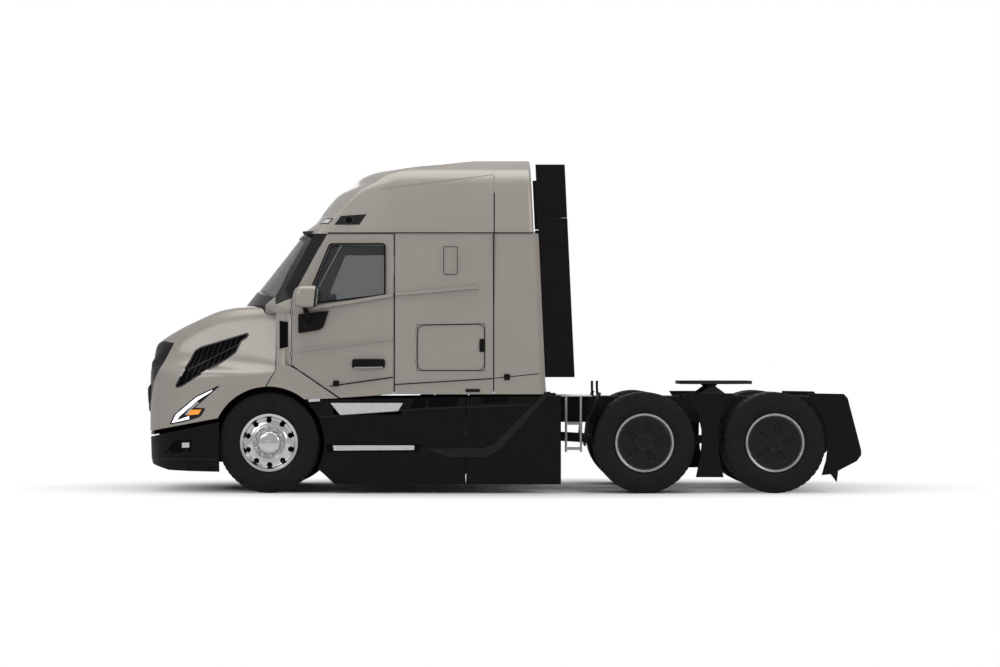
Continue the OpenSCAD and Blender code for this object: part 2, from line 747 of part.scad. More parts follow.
// Hinged at the left arm: the right eye is the linkage's open pivot, where the pin stands clear
tie_z = arm_z - 20;
module tie_rod() color("#605d5a") {
    rod_y(axle_f - arm_l, tie_z, 15, -kingpin_y, kingpin_y);
    translate([axle_f - arm_l, kingpin_y, tie_z]) cylinder(h = 20 + arm_t, r = tie_pin_r);
    translate([axle_f - arm_l, -kingpin_y, tie_z]) cylinder(h = 20 + arm_t, r = tie_pin_r - 1);
}

// ---- wheels: drawn about Y with the outer face towards +Y -------------------------------------------------

bead_half = 0.4 * tyre_w;
flange_t = 8;
flange_h = 14;
barrel_t = 14;

module about_y() rotate([-90, 0, 0]) rotate_extrude($fn = 96) children();

// Columns: radius, distance from the tyre's middle plane
module tyre() about_y() polygon([
    [rim_r, -bead_half], [rim_r + 22, -bead_half], [rim_r + 60, -0.47 * tyre_w],
    [rim_r + 110, -tyre_w / 2], [tyre_r - 80, -0.49 * tyre_w], [tyre_r - 22, -0.445 * tyre_w],
    [tyre_r - 4, -0.4 * tyre_w], [tyre_r, -0.3 * tyre_w], [tyre_r, 0.3 * tyre_w],
    [tyre_r - 4, 0.4 * tyre_w], [tyre_r - 22, 0.445 * tyre_w], [tyre_r - 80, 0.49 * tyre_w],
    [rim_r + 110, tyre_w / 2], [rim_r + 60, 0.47 * tyre_w], [rim_r + 22, bead_half], [rim_r, bead_half]
]);

module rim_barrel() about_y() polygon([
    [rim_r, -bead_half - 1], [rim_r + flange_h, -bead_half - 1], [rim_r + flange_h, -bead_half - 1 - flange_t],
    [rim_r - barrel_t, -bead_half - 1 - flange_t], [rim_r - barrel_t, bead_half + 1 + flange_t],
    [rim_r + flange_h, bead_half + 1 + flange_t], [rim_r + flange_h, bead_half + 1], [rim_r, bead_half + 1]
]);

// Disc from the hub to the barrel, with its outer face at y1 and round hand holes
module wheel_disc(y0, y1, r_in, holes, hole_r, hole_pcr) difference() {
    about_y() polygon([[r_in, y0], [rim_r - barrel_t + 1, y0], [rim_r - barrel_t + 1, y1], [r_in, y1]]);
    for (i = [0:holes - 1]) rotate([0, 360 * i / holes, 0]) translate([0, y0 - 1, hole_pcr])
        rotate([-90, 0, 0]) cylinder(h = y1 - y0 + 2, r = hole_r);
}

module front_wheel() {
    rim_barrel();
    wheel_disc(62, 80, 100, 10, 28, 226);
    // Hub with the spindle's bore, closed by its cap
    about_y() polygon([
        [spindle_r + pin_clear, -56], [110, -56], [110, 100], [70, 128], [0, 132], [0, 70], [spindle_r + pin_clear, 60]
    ]);
}

rear_wheel_y = rear_track / 2;
twin_half = twin_spacing / 2;
shaft_r = 48;

// Drawn about the twin's middle plane
module twin_tyres() for (s = [-1, 1]) translate([0, s * twin_half, 0]) tyre();

module twin_rims() {
    for (s = [-1, 1]) translate([0, s * twin_half, 0]) rim_barrel();
    // Both discs bolt together at the middle plane, and the hub carries them
    wheel_disc(-16, 16, 120, 5, 30, 200);
    about_y() polygon([[rim_r - barrel_t - 6, -twin_half + bead_half - 40], [rim_r - barrel_t + 1, -twin_half + bead_half - 40],
        [rim_r - barrel_t + 1, twin_half - bead_half + 40], [rim_r - barrel_t - 6, twin_half - bead_half + 40]]);
    about_y() polygon([
        [shaft_r + pin_clear, -90], [130, -90], [130, 60], [110, 150], [70, 190], [0, 190], [0, 100], [shaft_r + pin_clear, 90]
    ]);
    // Cover over the outer rim
    translate([0, twin_half, 0]) about_y() polygon([
        [0, 98], [80, 98], [150, 108], [rim_r - barrel_t + 1, 108], [rim_r - barrel_t + 1, 114], [148, 116], [74, 110], [0, 112]
    ]);
}

module place_wheel(x, y, s) on_side(s) translate([x, y, wheel_z]) children();

// ---- driven axles ------------------------------------------------------------------------------------------

housing_r = 75;
saddle_z = wheel_z - housing_r;
module drive_axles() color("#4c4a48") {
    for (x = [axle_m, axle_r]) {
        rod_y(x, wheel_z, housing_r, -(rear_wheel_y - 150), rear_wheel_y - 150);
        rod_y(x, wheel_z, shaft_r, -(rear_wheel_y + 85), rear_wheel_y + 85);
        rod_x(0, wheel_z, 190, x - 130, x + 110);
        rod_x(0, wheel_z, 95, x + 100, x + 320);
    }
    // Shaft between the axles, and the one forward to the gearbox
    rod_x(0, wheel_z, 45, axle_r + 300, axle_m - 100);
    run = door_x1 + 200 - (axle_m + 310);
    rise = 660 - wheel_z;
    translate([axle_m + 310, 0, wheel_z]) rotate([0, 90 - atan(rise / run), 0])
        cylinder(h = sqrt(run * run + rise * rise) - 12, r = 50);
}

module rear_suspension() color("#3a3938") for (x = [axle_m, axle_r]) both_sides() {
    difference() {
        union() {
            side_plate([
                [x + 520, rail_low], [x + 520, 520], [x + 440, 400], [x + 100, saddle_z - 60], [x - 420, saddle_z - 60],
                [x - 420, saddle_z - 20], [x - 110, saddle_z - 10], [x - 90, wheel_z - 10], [x + 90, wheel_z - 10],
                [x + 110, saddle_z + 40], [x + 400, 500], [x + 440, rail_low]
            ], spring_y - 35, spring_y + 35);
        }
        rod_y(x, wheel_z, housing_r + seat_gap, 0, half_w);
    }
    translate([x - 330, spring_y, saddle_z - 20]) cylinder(h = rail_low - saddle_z + 20, r = 110);
}

// ---- tanks, boxes, skirts and steps --------------------------------------------------------------------------

tank_r = 290;
tank_y = 820;
tank_z = 640;
box_x0 = door_x1 - 20;
box_x1 = door_x0 - 430;
skirt_y = half_w - 20;
skirt_t = 35;
module fuel_tanks() color("#8b8c8e") both_sides() {
    rod_x(tank_y, tank_z, tank_r, cab_back + 40, box_x0 - 30);
    for (x = [cab_back + 200, box_x0 - 300])
        block([x, rail_y, 730], [x + 70, tank_y - 200, 880]);
}

module step_boxes() color("#262626") both_sides() {
    block([box_x0, 500, 350], [box_x1, skirt_y - 80, 900]);
    for (x = [box_x0 + 80, box_x1 - 150]) block([x, rail_y, 760], [x + 70, 501, 860]);
}

// Treads: front and back along the cab, lower and upper face
low_step = [box_x0 - 180, box_x1 + 8, 434, 486];
high_step = [box_x0 - 50, box_x1 + 0, 800, 905];
skirt_split = sleeper_x1 + 284;

module skirt_outline(x_back, x_front) difference() {
    side_plate([
        [x_front, 202], [x_front - 115, 92], [x_back, 92], [x_back, sill_z - 12],
        [door_toe_x, sill_z - 50], [axle_f - 300, 940], [axle_f - 300, 400]
    ], skirt_y - skirt_t, skirt_y);
    rod_y(axle_f, wheel_z, arch_r - 10, half_w - 200, half_w + 10);
    for (step = [low_step, high_step])
        block([step[0] - 2, half_w - 200, step[2] - 2], [step[1] + 2, half_w + 10, step[3] + 2]);
}

skirt_front = axle_f - 552;
skirt_back = cab_back - 152;
module side_skirts() color("#262628") both_sides() {
    difference() {
        skirt_outline(skirt_back, skirt_front);
        block([skirt_split - 3, 0, 0], [skirt_split + 3, half_w, rail_top + 100]);
    }
    // Brackets to the boxes and to the tank
    block([box_x1 - 120, skirt_y - 80, 560], [box_x1 - 40, skirt_y - skirt_t, 620]);
    difference() {
        for (x = [skirt_split - 300, skirt_split + 100])
            block([x, tank_y + 200, tank_z - 30], [x + 80, skirt_y - skirt_t, tank_z + 30]);
        rod_x(tank_y, tank_z, tank_r + seat_gap, cab_back, box_x0);
    }
}

module cab_steps() color("#c8c8c6") both_sides() for (step = [low_step, high_step]) {
    y1 = step[3] < 600 ? skirt_y + 12 : skirt_y - 8;
    block([max(step[0], box_x0), skirt_y - 80, step[2]], [min(step[1], box_x1), y1, step[3]]);
}

ladder_x = cab_back - 385;
ladder_w = 180;
module deck_plate() color("#9a9a98") {
    block([cab_back - 490, -rail_y - 190, rail_top], [cab_back - 140, rail_y + 190, rail_top + 12]);
    // Ladder down from its left edge
    for (x = [ladder_x, ladder_x + ladder_w - 25])
        block([x, rail_y + 165, 400], [x + 25, rail_y + 190, rail_top]);
    for (z = [420, 680]) block([ladder_x, rail_y + 165, z], [ladder_x + ladder_w, rail_y + 190, z + 30]);
}

// ---- coupling plate --------------------------------------------------------------------------------------------

bogie_x = (axle_m + axle_r) / 2;
plate_pivot_x = bogie_x - 95;
plate_pivot_z = coupling_z - 80;
plate_t = 35;
pivot_pin_r = 20;
plate_half_w = 470;
ear_y = rail_y - 35;
module fifth_wheel_bracket() color("#4a4846") both_sides() {
    block([plate_pivot_x - 300, rail_y - rail_flange, rail_top], [plate_pivot_x + 300, rail_y, rail_top + 12]);
    hull() {
        rod_y(plate_pivot_x, plate_pivot_z, 36, ear_y, ear_y + 30);
        block([plate_pivot_x - 150, ear_y, rail_top + 12], [plate_pivot_x + 150, ear_y + 30, rail_top + 20]);
    }
    rod_y(plate_pivot_x, plate_pivot_z, pivot_pin_r, ear_y - 50, ear_y + 1);
}

// The kingpin's bore lies in the closed jaws, at the end of the throat
kingpin_bore_r = 25.5;
jaw_h = 50;
module fifth_wheel_plate() color("#5b5957") {
    difference() {
        union() {
            translate([0, 0, coupling_z - plate_t]) linear_extrude(plate_t) polygon([
                [plate_pivot_x + 337, -300], [plate_pivot_x + 337, 300], [plate_pivot_x + 200, plate_half_w],
                [plate_pivot_x - 180, plate_half_w], [plate_pivot_x - 430, 250], [plate_pivot_x - 430, 150],
                [plate_pivot_x - 110, 52], [plate_pivot_x - 110, -52], [plate_pivot_x - 430, -150],
                [plate_pivot_x - 430, -250], [plate_pivot_x - 180, -plate_half_w], [plate_pivot_x + 200, -plate_half_w]
            ]);
            translate([plate_pivot_x + 0, 0, coupling_z - jaw_h]) cylinder(h = jaw_h, r = 85);
            both_sides() {
                rod_y(plate_pivot_x, plate_pivot_z, 38, ear_y - 45, ear_y - 8);
                block([plate_pivot_x - 38, ear_y - 45, plate_pivot_z], [plate_pivot_x + 38, ear_y - 8, coupling_z - plate_t + 1]);
            }
        }
        translate([plate_pivot_x, 0, coupling_z - 2 * jaw_h]) cylinder(h = 3 * jaw_h, r = kingpin_bore_r);
        both_sides() rod_y(plate_pivot_x, plate_pivot_z, pivot_pin_r + 0.05, 0, ear_y);
    }
}

// ---- rear fairings and lamps --------------------------------------------------------------------------------------

fairing_half = [
    [248, 1014], [215, 960], [120, 800], [85, 650], [82, 513], [95, 380], [120, 260], [140, 164]
];
fairing_y = half_w - 5;
fairing_t = 30;
module middle_fairings() color("#2c2c2e") both_sides() {
    side_plate([
        for (p = fairing_half) [bogie_x + p[0], p[1]],
        for (i = [7:-1:0]) [bogie_x - fairing_half[i][0], fairing_half[i][1]]
    ], fairing_y - fairing_t, fairing_y);
    rod_y(bogie_x, 850, 22, rail_y, fairing_y - fairing_t);
    // Strip ahead of the forward driven wheel, on its own arm
    side_plate([
        [axle_m + 445, 1020], [axle_m + 575, 750], [axle_m + 605, 478], [axle_m + 595, 478],
        [axle_m + 565, 746], [axle_m + 437, 1014]
    ], 620, fairing_y);
    rod_y(axle_m + 583, 750, 12, rail_y, 640);
    block([axle_m + 560, 620, 732], [axle_m + 595, 640, 768]);
}

// Measured back from the rear axle
guard_points = [
    [-346, 1014], [-696, 1008], [-736, 964], [-tail_overhang, 438], [-tail_overhang, 387], [-827, 327],
    [-639, 230], [-625, 114], [-564, 195], [-473, 185], [-517, 337], [-529, 438], [-511, 680],
    [-437, 842], [-346, 964]
];
module rear_mudguards() color("#232325") both_sides() {
    side_plate(shifted(guard_points, axle_r, 0), fairing_y - fairing_t, fairing_y);
    rod_y(axle_r - 620, 850, 22, rail_y, fairing_y - fairing_t);
    // Flap behind the tyres
    block([axle_r - 632, 620, 180], [axle_r - 622, fairing_y - fairing_t, 860]);
}

module tail_lamps() color("#7a1512") {
    block([frame_back - 25, -rail_y, rail_low + 60], [frame_back, rail_y, rail_top - 60]);
    both_sides() for (y = [200, 310]) rod_x(y, rail_top - 133, 45, frame_back - 40, frame_back - 24);
}

// ---- the whole part ---------------------------------------------------------------------------------------------------

steel = "#b9bcc0";
rubber = "#151515";
wheel_dark = "#26262a";
frame_rails();
crossmembers();
front_bumper();
front_axle();
front_springs();
drive_axles();
rear_suspension();
engine();
radiator();
fuel_tanks();
step_boxes();
side_skirts();
cab_steps();
deck_plate();
fifth_wheel_bracket();
middle_fairings();
rear_mudguards();
tail_lamps();
cab_floor();
cab_front();
windshield();
cowl_sides();
sleeper_sides();
rear_sides();
back_wall();
roof();
side_extenders();
dashboard();
steering_wheel();
seats();
bunk();
hood();
hood_hinges();
grilles();
headlamps();
side_door(1);  // left_door
door_glass(1);  // left_door_glass
mirror_unit(1);  // left_mirror
side_door(-1);  // right_door
door_glass(-1);  // right_door_glass
mirror_unit(-1);  // right_mirror
luggage_door(1);  // left_luggage_door
luggage_door(-1);  // right_luggage_door
knuckle(1);  // left_knuckle
knuckle(-1);  // right_knuckle
tie_rod();
color(rubber) place_wheel(axle_f, front_wheel_y, 1) tyre();  // left_front_tyre
color(steel) place_wheel(axle_f, front_wheel_y, 1) front_wheel();  // left_front_wheel
color(rubber) place_wheel(axle_f, front_wheel_y, -1) tyre();  // right_front_tyre
color(steel) place_wheel(axle_f, front_wheel_y, -1) front_wheel();  // right_front_wheel
color(rubber) place_wheel(axle_m, rear_wheel_y, 1) twin_tyres();  // forward_left_tyres
color(wheel_dark) place_wheel(axle_m, rear_wheel_y, 1) twin_rims();  // forward_left_wheels
color(rubber) place_wheel(axle_m, rear_wheel_y, -1) twin_tyres();  // forward_right_tyres
color(wheel_dark) place_wheel(axle_m, rear_wheel_y, -1) twin_rims();  // forward_right_wheels
color(rubber) place_wheel(axle_r, rear_wheel_y, 1) twin_tyres();  // rear_left_tyres
color(wheel_dark) place_wheel(axle_r, rear_wheel_y, 1) twin_rims();  // rear_left_wheels
color(rubber) place_wheel(axle_r, rear_wheel_y, -1) twin_tyres();  // rear_right_tyres
color(wheel_dark) place_wheel(axle_r, rear_wheel_y, -1) twin_rims();  // rear_right_wheels
fifth_wheel_plate();
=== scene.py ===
"""The looks of a semi truck tractor unit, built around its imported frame.

Metres: +X forward, +Y to the left, +Z up. Every place and size comes from the frame.
"""

import json

import bmesh
import bpy
import numpy as np
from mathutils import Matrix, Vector

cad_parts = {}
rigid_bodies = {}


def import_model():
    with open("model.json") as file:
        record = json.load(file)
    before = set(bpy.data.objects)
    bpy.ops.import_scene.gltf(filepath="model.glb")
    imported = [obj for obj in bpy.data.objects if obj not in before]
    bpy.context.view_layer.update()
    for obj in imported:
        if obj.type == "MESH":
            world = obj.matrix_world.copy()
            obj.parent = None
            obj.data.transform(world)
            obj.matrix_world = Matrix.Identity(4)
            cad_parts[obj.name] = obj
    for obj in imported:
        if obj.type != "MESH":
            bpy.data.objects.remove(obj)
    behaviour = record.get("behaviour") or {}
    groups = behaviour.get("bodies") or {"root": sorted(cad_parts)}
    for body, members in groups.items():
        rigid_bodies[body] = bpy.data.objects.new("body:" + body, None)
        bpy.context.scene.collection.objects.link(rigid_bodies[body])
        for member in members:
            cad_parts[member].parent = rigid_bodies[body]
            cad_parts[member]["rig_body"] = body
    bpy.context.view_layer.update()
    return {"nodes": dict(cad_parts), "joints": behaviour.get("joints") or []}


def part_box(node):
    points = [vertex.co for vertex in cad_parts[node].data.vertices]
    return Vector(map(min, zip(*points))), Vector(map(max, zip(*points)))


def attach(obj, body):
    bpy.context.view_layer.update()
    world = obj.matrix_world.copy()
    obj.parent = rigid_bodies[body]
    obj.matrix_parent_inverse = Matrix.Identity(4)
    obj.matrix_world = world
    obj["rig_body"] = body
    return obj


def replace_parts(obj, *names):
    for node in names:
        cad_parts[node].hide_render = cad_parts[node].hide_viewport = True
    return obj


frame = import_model()

# ---- Places, taken from the frame ----------------------------------------------------------------

JOINTS = {joint["name"]: joint for joint in frame["joints"]}
SIDES = ((1, "left"), (-1, "right"))


def box(node):
    """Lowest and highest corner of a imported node, as arrays."""
    low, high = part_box(node)
    return np.array(low), np.array(high)


front_hub = np.array(JOINTS["left_front_spin"]["pos_m"])
forward_hub = np.array(JOINTS["forward_left_spin"]["pos_m"])
rear_hub = np.array(JOINTS["rear_left_spin"]["pos_m"])

nose_x = box("front_bumper")[1][0]
axle_f = front_hub[0]
wheel_z = front_hub[2]
tyre_r = box("left_front_tyre")[1][2] - wheel_z
half_w = box("sleeper_sides")[1][1]
door_x0 = JOINTS["left_door_swing"]["pos_m"][0] + 0.003
door_x1 = box("sleeper_sides")[1][0]
sleeper_x1 = box("sleeper_sides")[0][0] - 0.003
cab_back = box("rear_sides")[0][0]
sill_z = box("sleeper_sides")[0][2]
roof_z, top_z = box("roof")[0][2], box("roof")[1][2]
arch_r = 0.570

# ---- Grids, profiles and outlines ----------------------------------------------------------------


def close_seams(mesh):
    """Merges points that coincide, so that seams and poles are closed."""
    solid = bmesh.new()
    solid.from_mesh(mesh)
    bmesh.ops.remove_doubles(solid, verts=solid.verts, dist=0.00001)
    solid.to_mesh(mesh)
    solid.free()
    mesh.validate()


def new_mesh(name, points, faces, body, finish, smooth=True, angle=None):
    """A mesh piece from its points and faces, riding on a body."""
    mesh = bpy.data.meshes.new(name)
    mesh.from_pydata(np.asarray(points, float).reshape(-1, 3), [], faces)
    close_seams(mesh)
    mesh.polygons.foreach_set("use_smooth", np.full(len(mesh.polygons), smooth))
    piece = bpy.data.objects.new(name, mesh)
    bpy.context.scene.collection.objects.link(piece)
    mesh.materials.append(MATERIALS[finish])
    if angle is not None:
        mesh.set_sharp_from_angle(angle=np.radians(angle))
    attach(piece, body)
    return piece


def grid_faces(rows, cols, around=False, start=0):
    """Quads between neighbouring rows and columns; around closes each row on itself."""
    i = np.arange(rows - 1)[:, None]
    j = np.arange(cols if around else cols - 1)[None, :]
    k = (j + 1) % cols
    quads = np.stack([i * cols + j, i * cols + k, (i + 1) * cols + k, (i + 1) * cols + j], -1)
    return (quads.reshape(-1, 4) + start).tolist()


def surface(name, points, body, finish, around=False, flip=False, thick=0.0, caps=False, angle=None):
    """A two-parameter grid of points as a surface, with an optional wall laid inwards."""
    rows, cols = points.shape[:2]
    faces = grid_faces(rows, cols, around)
    if caps:
        faces += [list(range(cols))[::-1], list(range((rows - 1) * cols, rows * cols))]
    if flip:
        faces = [face[::-1] for face in faces]
    piece = new_mesh(name, points, faces, body, finish, angle=angle)
    if thick:
        wall = piece.modifiers.new("wall", "SOLIDIFY")
        wall.thickness = thick
        wall.offset = -1
    return piece


def join_meshes(name, parts, body, finish, smooth=True, angle=None):
    """One piece from several (points, faces) pairs."""
    points, faces, start = [], [], 0
    for some_points, some_faces in parts:
        some_points = np.asarray(some_points, float).reshape(-1, 3)
        points.append(some_points)
        faces += [[index + start for index in face] for face in some_faces]
        start += len(some_points)
    return new_mesh(name, np.concatenate(points), faces, body, finish, smooth, angle)


def rounded(outline, radius, steps=4):
    """A closed outline with its corners replaced by quadratic arcs that start radius away."""
    points = np.asarray(outline, float)
    back, ahead = np.roll(points, 1, 0) - points, np.roll(points, -1, 0) - points
    reach_back = np.minimum(radius, 0.45 * np.linalg.norm(back, axis=1))[:, None]
    reach_ahead = np.minimum(radius, 0.45 * np.linalg.norm(ahead, axis=1))[:, None]
    first = points + back / np.linalg.norm(back, axis=1)[:, None] * reach_back
    last = points + ahead / np.linalg.norm(ahead, axis=1)[:, None] * reach_ahead
    t = np.linspace(0, 1, steps + 1)[None, :, None]
    arcs = first[:, None] * (1 - t) ** 2 + 2 * points[:, None] * t * (1 - t) + last[:, None] * t**2
    return arcs.reshape(-1, 2)


def prism_parts(outline, y0, y1, side=1, plane="xz"):
    """Points and faces of an outline in a plane, carried from y0 to y1 across it."""
    flat = np.asarray(outline, float)
    area = np.sum(flat[:, 0] * np.roll(flat[:, 1], -1) - flat[:, 1] * np.roll(flat[:, 0], -1))
    if area < 0:
        flat = flat[::-1]
    count = len(flat)
    across = np.repeat([y0, y1], count)
    pair = np.tile(flat, (2, 1))
    if plane == "xz":
        points = np.stack([pair[:, 0], side * across, pair[:, 1]], 1)
    elif plane == "yz":
        points = np.stack([across, side * pair[:, 0], pair[:, 1]], 1)
    else:
        points = np.stack([pair[:, 0], side * pair[:, 1], across], 1)
    first = list(range(count))
    last = list(range(count, 2 * count))
    walls = [[i, (i + 1) % count, count + (i + 1) % count, count + i] for i in range(count)]
    faces = [first[::-1], last] + walls
    if (side > 0) == (plane == "xz"):
        faces = [face[::-1] for face in faces]
    return points, faces


def plate(name, outline, y0, y1, body, finish, side=1, plane="xz", edge=0.004, corner=0.0):
    """An outline given thickness, with rounded corners and softened edges."""
    if corner:
        outline = rounded(outline, corner)
    points, faces = prism_parts(outline, y0, y1, side, plane)
    piece = new_mesh(name, points, faces, body, finish, angle=35)
    if edge:
        soften(piece, edge)
    return piece


def soften(piece, width, angle=30, segments=2):
    """Rounds the edges sharper than an angle."""
    bevel = piece.modifiers.new("edge", "BEVEL")
    bevel.width = width
    bevel.segments = segments
    bevel.limit_method = "ANGLE"
    bevel.angle_limit = np.radians(angle)
    bevel.harden_normals = True


def turned_parts(profile, centre, side=1, steps=96, start=0.0, end=2 * np.pi):
    """A profile of (radius, distance out along Y) turned about the wheel's axis."""
    profile = np.asarray(profile, float)
    angle = np.linspace(start, end, steps, endpoint=False)[None, :]
    radius, out = profile[:, 0][:, None], profile[:, 1][:, None]
    points = np.stack([
        centre[0] + radius * np.cos(angle),
        side * (abs(centre[1]) + out + 0 * angle),
        centre[2] + radius * np.sin(angle),
    ], -1)
    faces = grid_faces(len(profile), steps, around=True)
    if side > 0:
        faces = [face[::-1] for face in faces]
    return points, faces


def turned(name, profile, centre, side, body, finish, steps=96, angle=40):
    """One turned piece; its profile runs from the inner end round to the outer end."""
    points, faces = turned_parts(profile, centre, side, steps)
    return new_mesh(name, points, faces, body, finish, angle=angle)


def tube_parts(path, radius, sides=10):
    """A round tube along a path: at each point a circle square to the path's direction."""
    path = np.asarray(path, float)
    along = np.gradient(path, axis=0)
    along /= np.linalg.norm(along, axis=1)[:, None]
    lean = np.where(np.abs(along[:, 2:3]) > 0.9, [[1.0, 0, 0]], [[0, 0, 1.0]])
    first = np.cross(along, lean)
    first /= np.linalg.norm(first, axis=1)[:, None]
    second = np.cross(along, first)
    turn = np.linspace(0, 2 * np.pi, sides, endpoint=False)
    ring = first[:, None] * np.cos(turn)[None, :, None] + second[:, None] * np.sin(turn)[None, :, None]
    points = path[:, None] + ring * np.broadcast_to(radius, len(path))[:, None, None]
    faces = grid_faces(len(path), sides, around=True)
    faces += [list(range(sides))[::-1], list(range((len(path) - 1) * sides, len(path) * sides))]
    return points, [face[::-1] for face in faces]


def tube(name, path, radius, body, finish, sides=12):
    """One tube piece along a path."""
    return join_meshes(name, [tube_parts(path, radius, sides)], body, finish, angle=50)


def curve_through(t, knots, values):
    """Cubic Hermite curve through values at knots, with centred slopes, at every t."""
    knots, values = np.asarray(knots, float), np.asarray(values, float)
    slopes = np.gradient(values, knots, axis=0)
    t = np.clip(np.asarray(t, float), knots[0], knots[-1])
    i = np.clip(np.searchsorted(knots, t, side="right") - 1, 0, len(knots) - 2)
    width = knots[i + 1] - knots[i]
    u = (t - knots[i]) / width
    if values.ndim > 1:
        u, width = u[..., None], width[..., None]
    h0, h1 = 1 - u**2 * (3 - 2 * u), u**2 * (3 - 2 * u)
    g0, g1 = u * (1 - u) ** 2, -(u**2) * (1 - u)
    return h0 * values[i] + h1 * values[i + 1] + width * (g0 * slopes[i] + g1 * slopes[i + 1])


def panel_copy(node, name, finish, edge=0.004, angle=30, segments=2):
    """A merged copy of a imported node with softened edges, which stands for it."""
    source = frame["nodes"][node]
    mesh = source.data.copy()
    mesh.name = name
    piece = bpy.data.objects.new(name, mesh)
    bpy.context.scene.collection.objects.link(piece)
    weld = piece.modifiers.new("weld", "WELD")
    weld.merge_threshold = 0.00005
    if edge:
        flat = piece.modifiers.new("flat", "DECIMATE")
        flat.decimate_type = "DISSOLVE"
        flat.angle_limit = np.radians(0.5)
    bake_modifiers(piece)
    piece.data.materials.clear()
    piece.data.materials.append(MATERIALS[finish])
    piece.data.polygons.foreach_set("use_smooth", np.full(len(piece.data.polygons), True))
    piece.data.set_sharp_from_angle(angle=np.radians(angle))
    if edge:
        soften(piece, edge, angle, segments)
    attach(piece, source["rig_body"])
    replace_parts(piece, node)
    return piece


def bake_modifiers(piece):
    """Replaces the piece's mesh by the result of its modifiers."""
    graph = bpy.context.evaluated_depsgraph_get()
    made = bpy.data.meshes.new_from_object(piece.evaluated_get(graph))
    piece.modifiers.clear()
    piece.data = made


def points_of(piece):
    """The piece's points as rows of (x, y, z)."""
    points = np.empty(len(piece.data.vertices) * 3)
    piece.data.vertices.foreach_get("co", points)
    return points.reshape(-1, 3)


def move_points(piece, points):
    """Puts the piece's points at new places."""
    piece.data.vertices.foreach_set("co", points.ravel())


def keep_below(piece, axis, limit):
    """Moves the points past a limit along an axis back to it."""
    points = points_of(piece)
    points[:, axis] = np.minimum(points[:, axis], limit)
    move_points(piece, points)


def cut_by(piece, parts, operation="DIFFERENCE"):
    """Cuts ready-made solids out of a piece, or keeps only what lies in them."""
    cutter = join_meshes("cutter", parts, "chassis", "shadow")
    step = piece.modifiers.new("cut", "BOOLEAN")
    step.operation = operation
    step.object = cutter
    step.solver = "EXACT"
    step.use_self = True
    bake_modifiers(piece)
    bpy.data.objects.remove(cutter)


def cut(piece, outline, y0, y1, plane="xz", operation="DIFFERENCE"):
    """Cuts a prism of the outline out of a piece, or keeps only what lies in it."""
    cut_by(piece, [prism_parts(outline, y0, y1, 1, plane)], operation)


# ---- Finishes: each varies a little over Object coordinates --------------------------------------


def finish(name, colour, rough, metal=0.0, grain=18.0, change=0.06, bump=0.05, fine=900.0, **sockets):
    """A base colour that clouds a little, roughness that follows it, and a fine-grained surface."""
    material = bpy.data.materials.new(name)
    material.use_nodes = True
    tree = material.node_tree
    shader = tree.nodes["Principled BSDF"]
    place = tree.nodes.new("ShaderNodeTexCoord")
    cloud = tree.nodes.new("ShaderNodeTexNoise")
    cloud.inputs["Scale"].default_value = grain
    cloud.inputs["Detail"].default_value = 6
    tree.links.new(place.outputs["Object"], cloud.inputs["Vector"])
    shade = tree.nodes.new("ShaderNodeValToRGB")
    for stop, factor in zip(shade.color_ramp.elements, (1 - change, 1 + change)):
        stop.color = [min(1.0, channel * factor) for channel in colour] + [1]
    shade.color_ramp.elements[0].position = 0.35
    shade.color_ramp.elements[1].position = 0.65
    tree.links.new(cloud.outputs["Fac"], shade.inputs["Fac"])
    tree.links.new(shade.outputs["Color"], shader.inputs["Base Color"])
    spread = tree.nodes.new("ShaderNodeMapRange")
    spread.inputs["To Min"].default_value = max(0.02, rough - 0.06)
    spread.inputs["To Max"].default_value = min(1.0, rough + 0.06)
    tree.links.new(cloud.outputs["Fac"], spread.inputs["Value"])
    tree.links.new(spread.outputs["Result"], shader.inputs["Roughness"])
    pores = tree.nodes.new("ShaderNodeTexNoise")
    pores.inputs["Scale"].default_value = fine
    pores.inputs["Detail"].default_value = 3
    tree.links.new(place.outputs["Object"], pores.inputs["Vector"])
    relief = tree.nodes.new("ShaderNodeBump")
    relief.inputs["Strength"].default_value = bump
    relief.inputs["Distance"].default_value = 0.001
    tree.links.new(pores.outputs["Fac"], relief.inputs["Height"])
    tree.links.new(relief.outputs["Normal"], shader.inputs["Normal"])
    shader.inputs["Metallic"].default_value = metal
    for socket, value in sockets.items():
        shader.inputs[socket.replace("_", " ")].default_value = value
    return material


def tread_plate():
    """Bright plate with raised bars: two crossed waves lift the surface in lozenges."""
    material = finish("tread aluminium", (0.62, 0.62, 0.60), 0.32, metal=1.0, grain=30)
    tree = material.node_tree
    place = tree.nodes["Texture Coordinate"]
    relief = tree.nodes["Bump"]
    waves = []
    for turn in (np.radians(45), np.radians(-45)):
        mapping = tree.nodes.new("ShaderNodeMapping")
        mapping.inputs["Rotation"].default_value = (0, 0, turn)
        tree.links.new(place.outputs["Object"], mapping.inputs["Vector"])
        wave = tree.nodes.new("ShaderNodeTexWave")
        wave.inputs["Scale"].default_value = 14
        tree.links.new(mapping.outputs["Vector"], wave.inputs["Vector"])
        waves.append(wave)
    both = tree.nodes.new("ShaderNodeMath")
    both.operation = "MULTIPLY"
    tree.links.new(waves[0].outputs["Fac"], both.inputs[0])
    tree.links.new(waves[1].outputs["Fac"], both.inputs[1])
    tree.links.new(both.outputs["Value"], relief.inputs["Height"])
    relief.inputs["Strength"].default_value = 0.5
    relief.inputs["Distance"].default_value = 0.003
    return material


def woven(name, colour):
    """Seat cloth: a clouded colour with a fine bumpy surface and a little sheen."""
    material = finish(name, colour, 0.85, grain=60, change=0.12, bump=0.4, fine=420, Sheen_Weight=0.3)
    return material


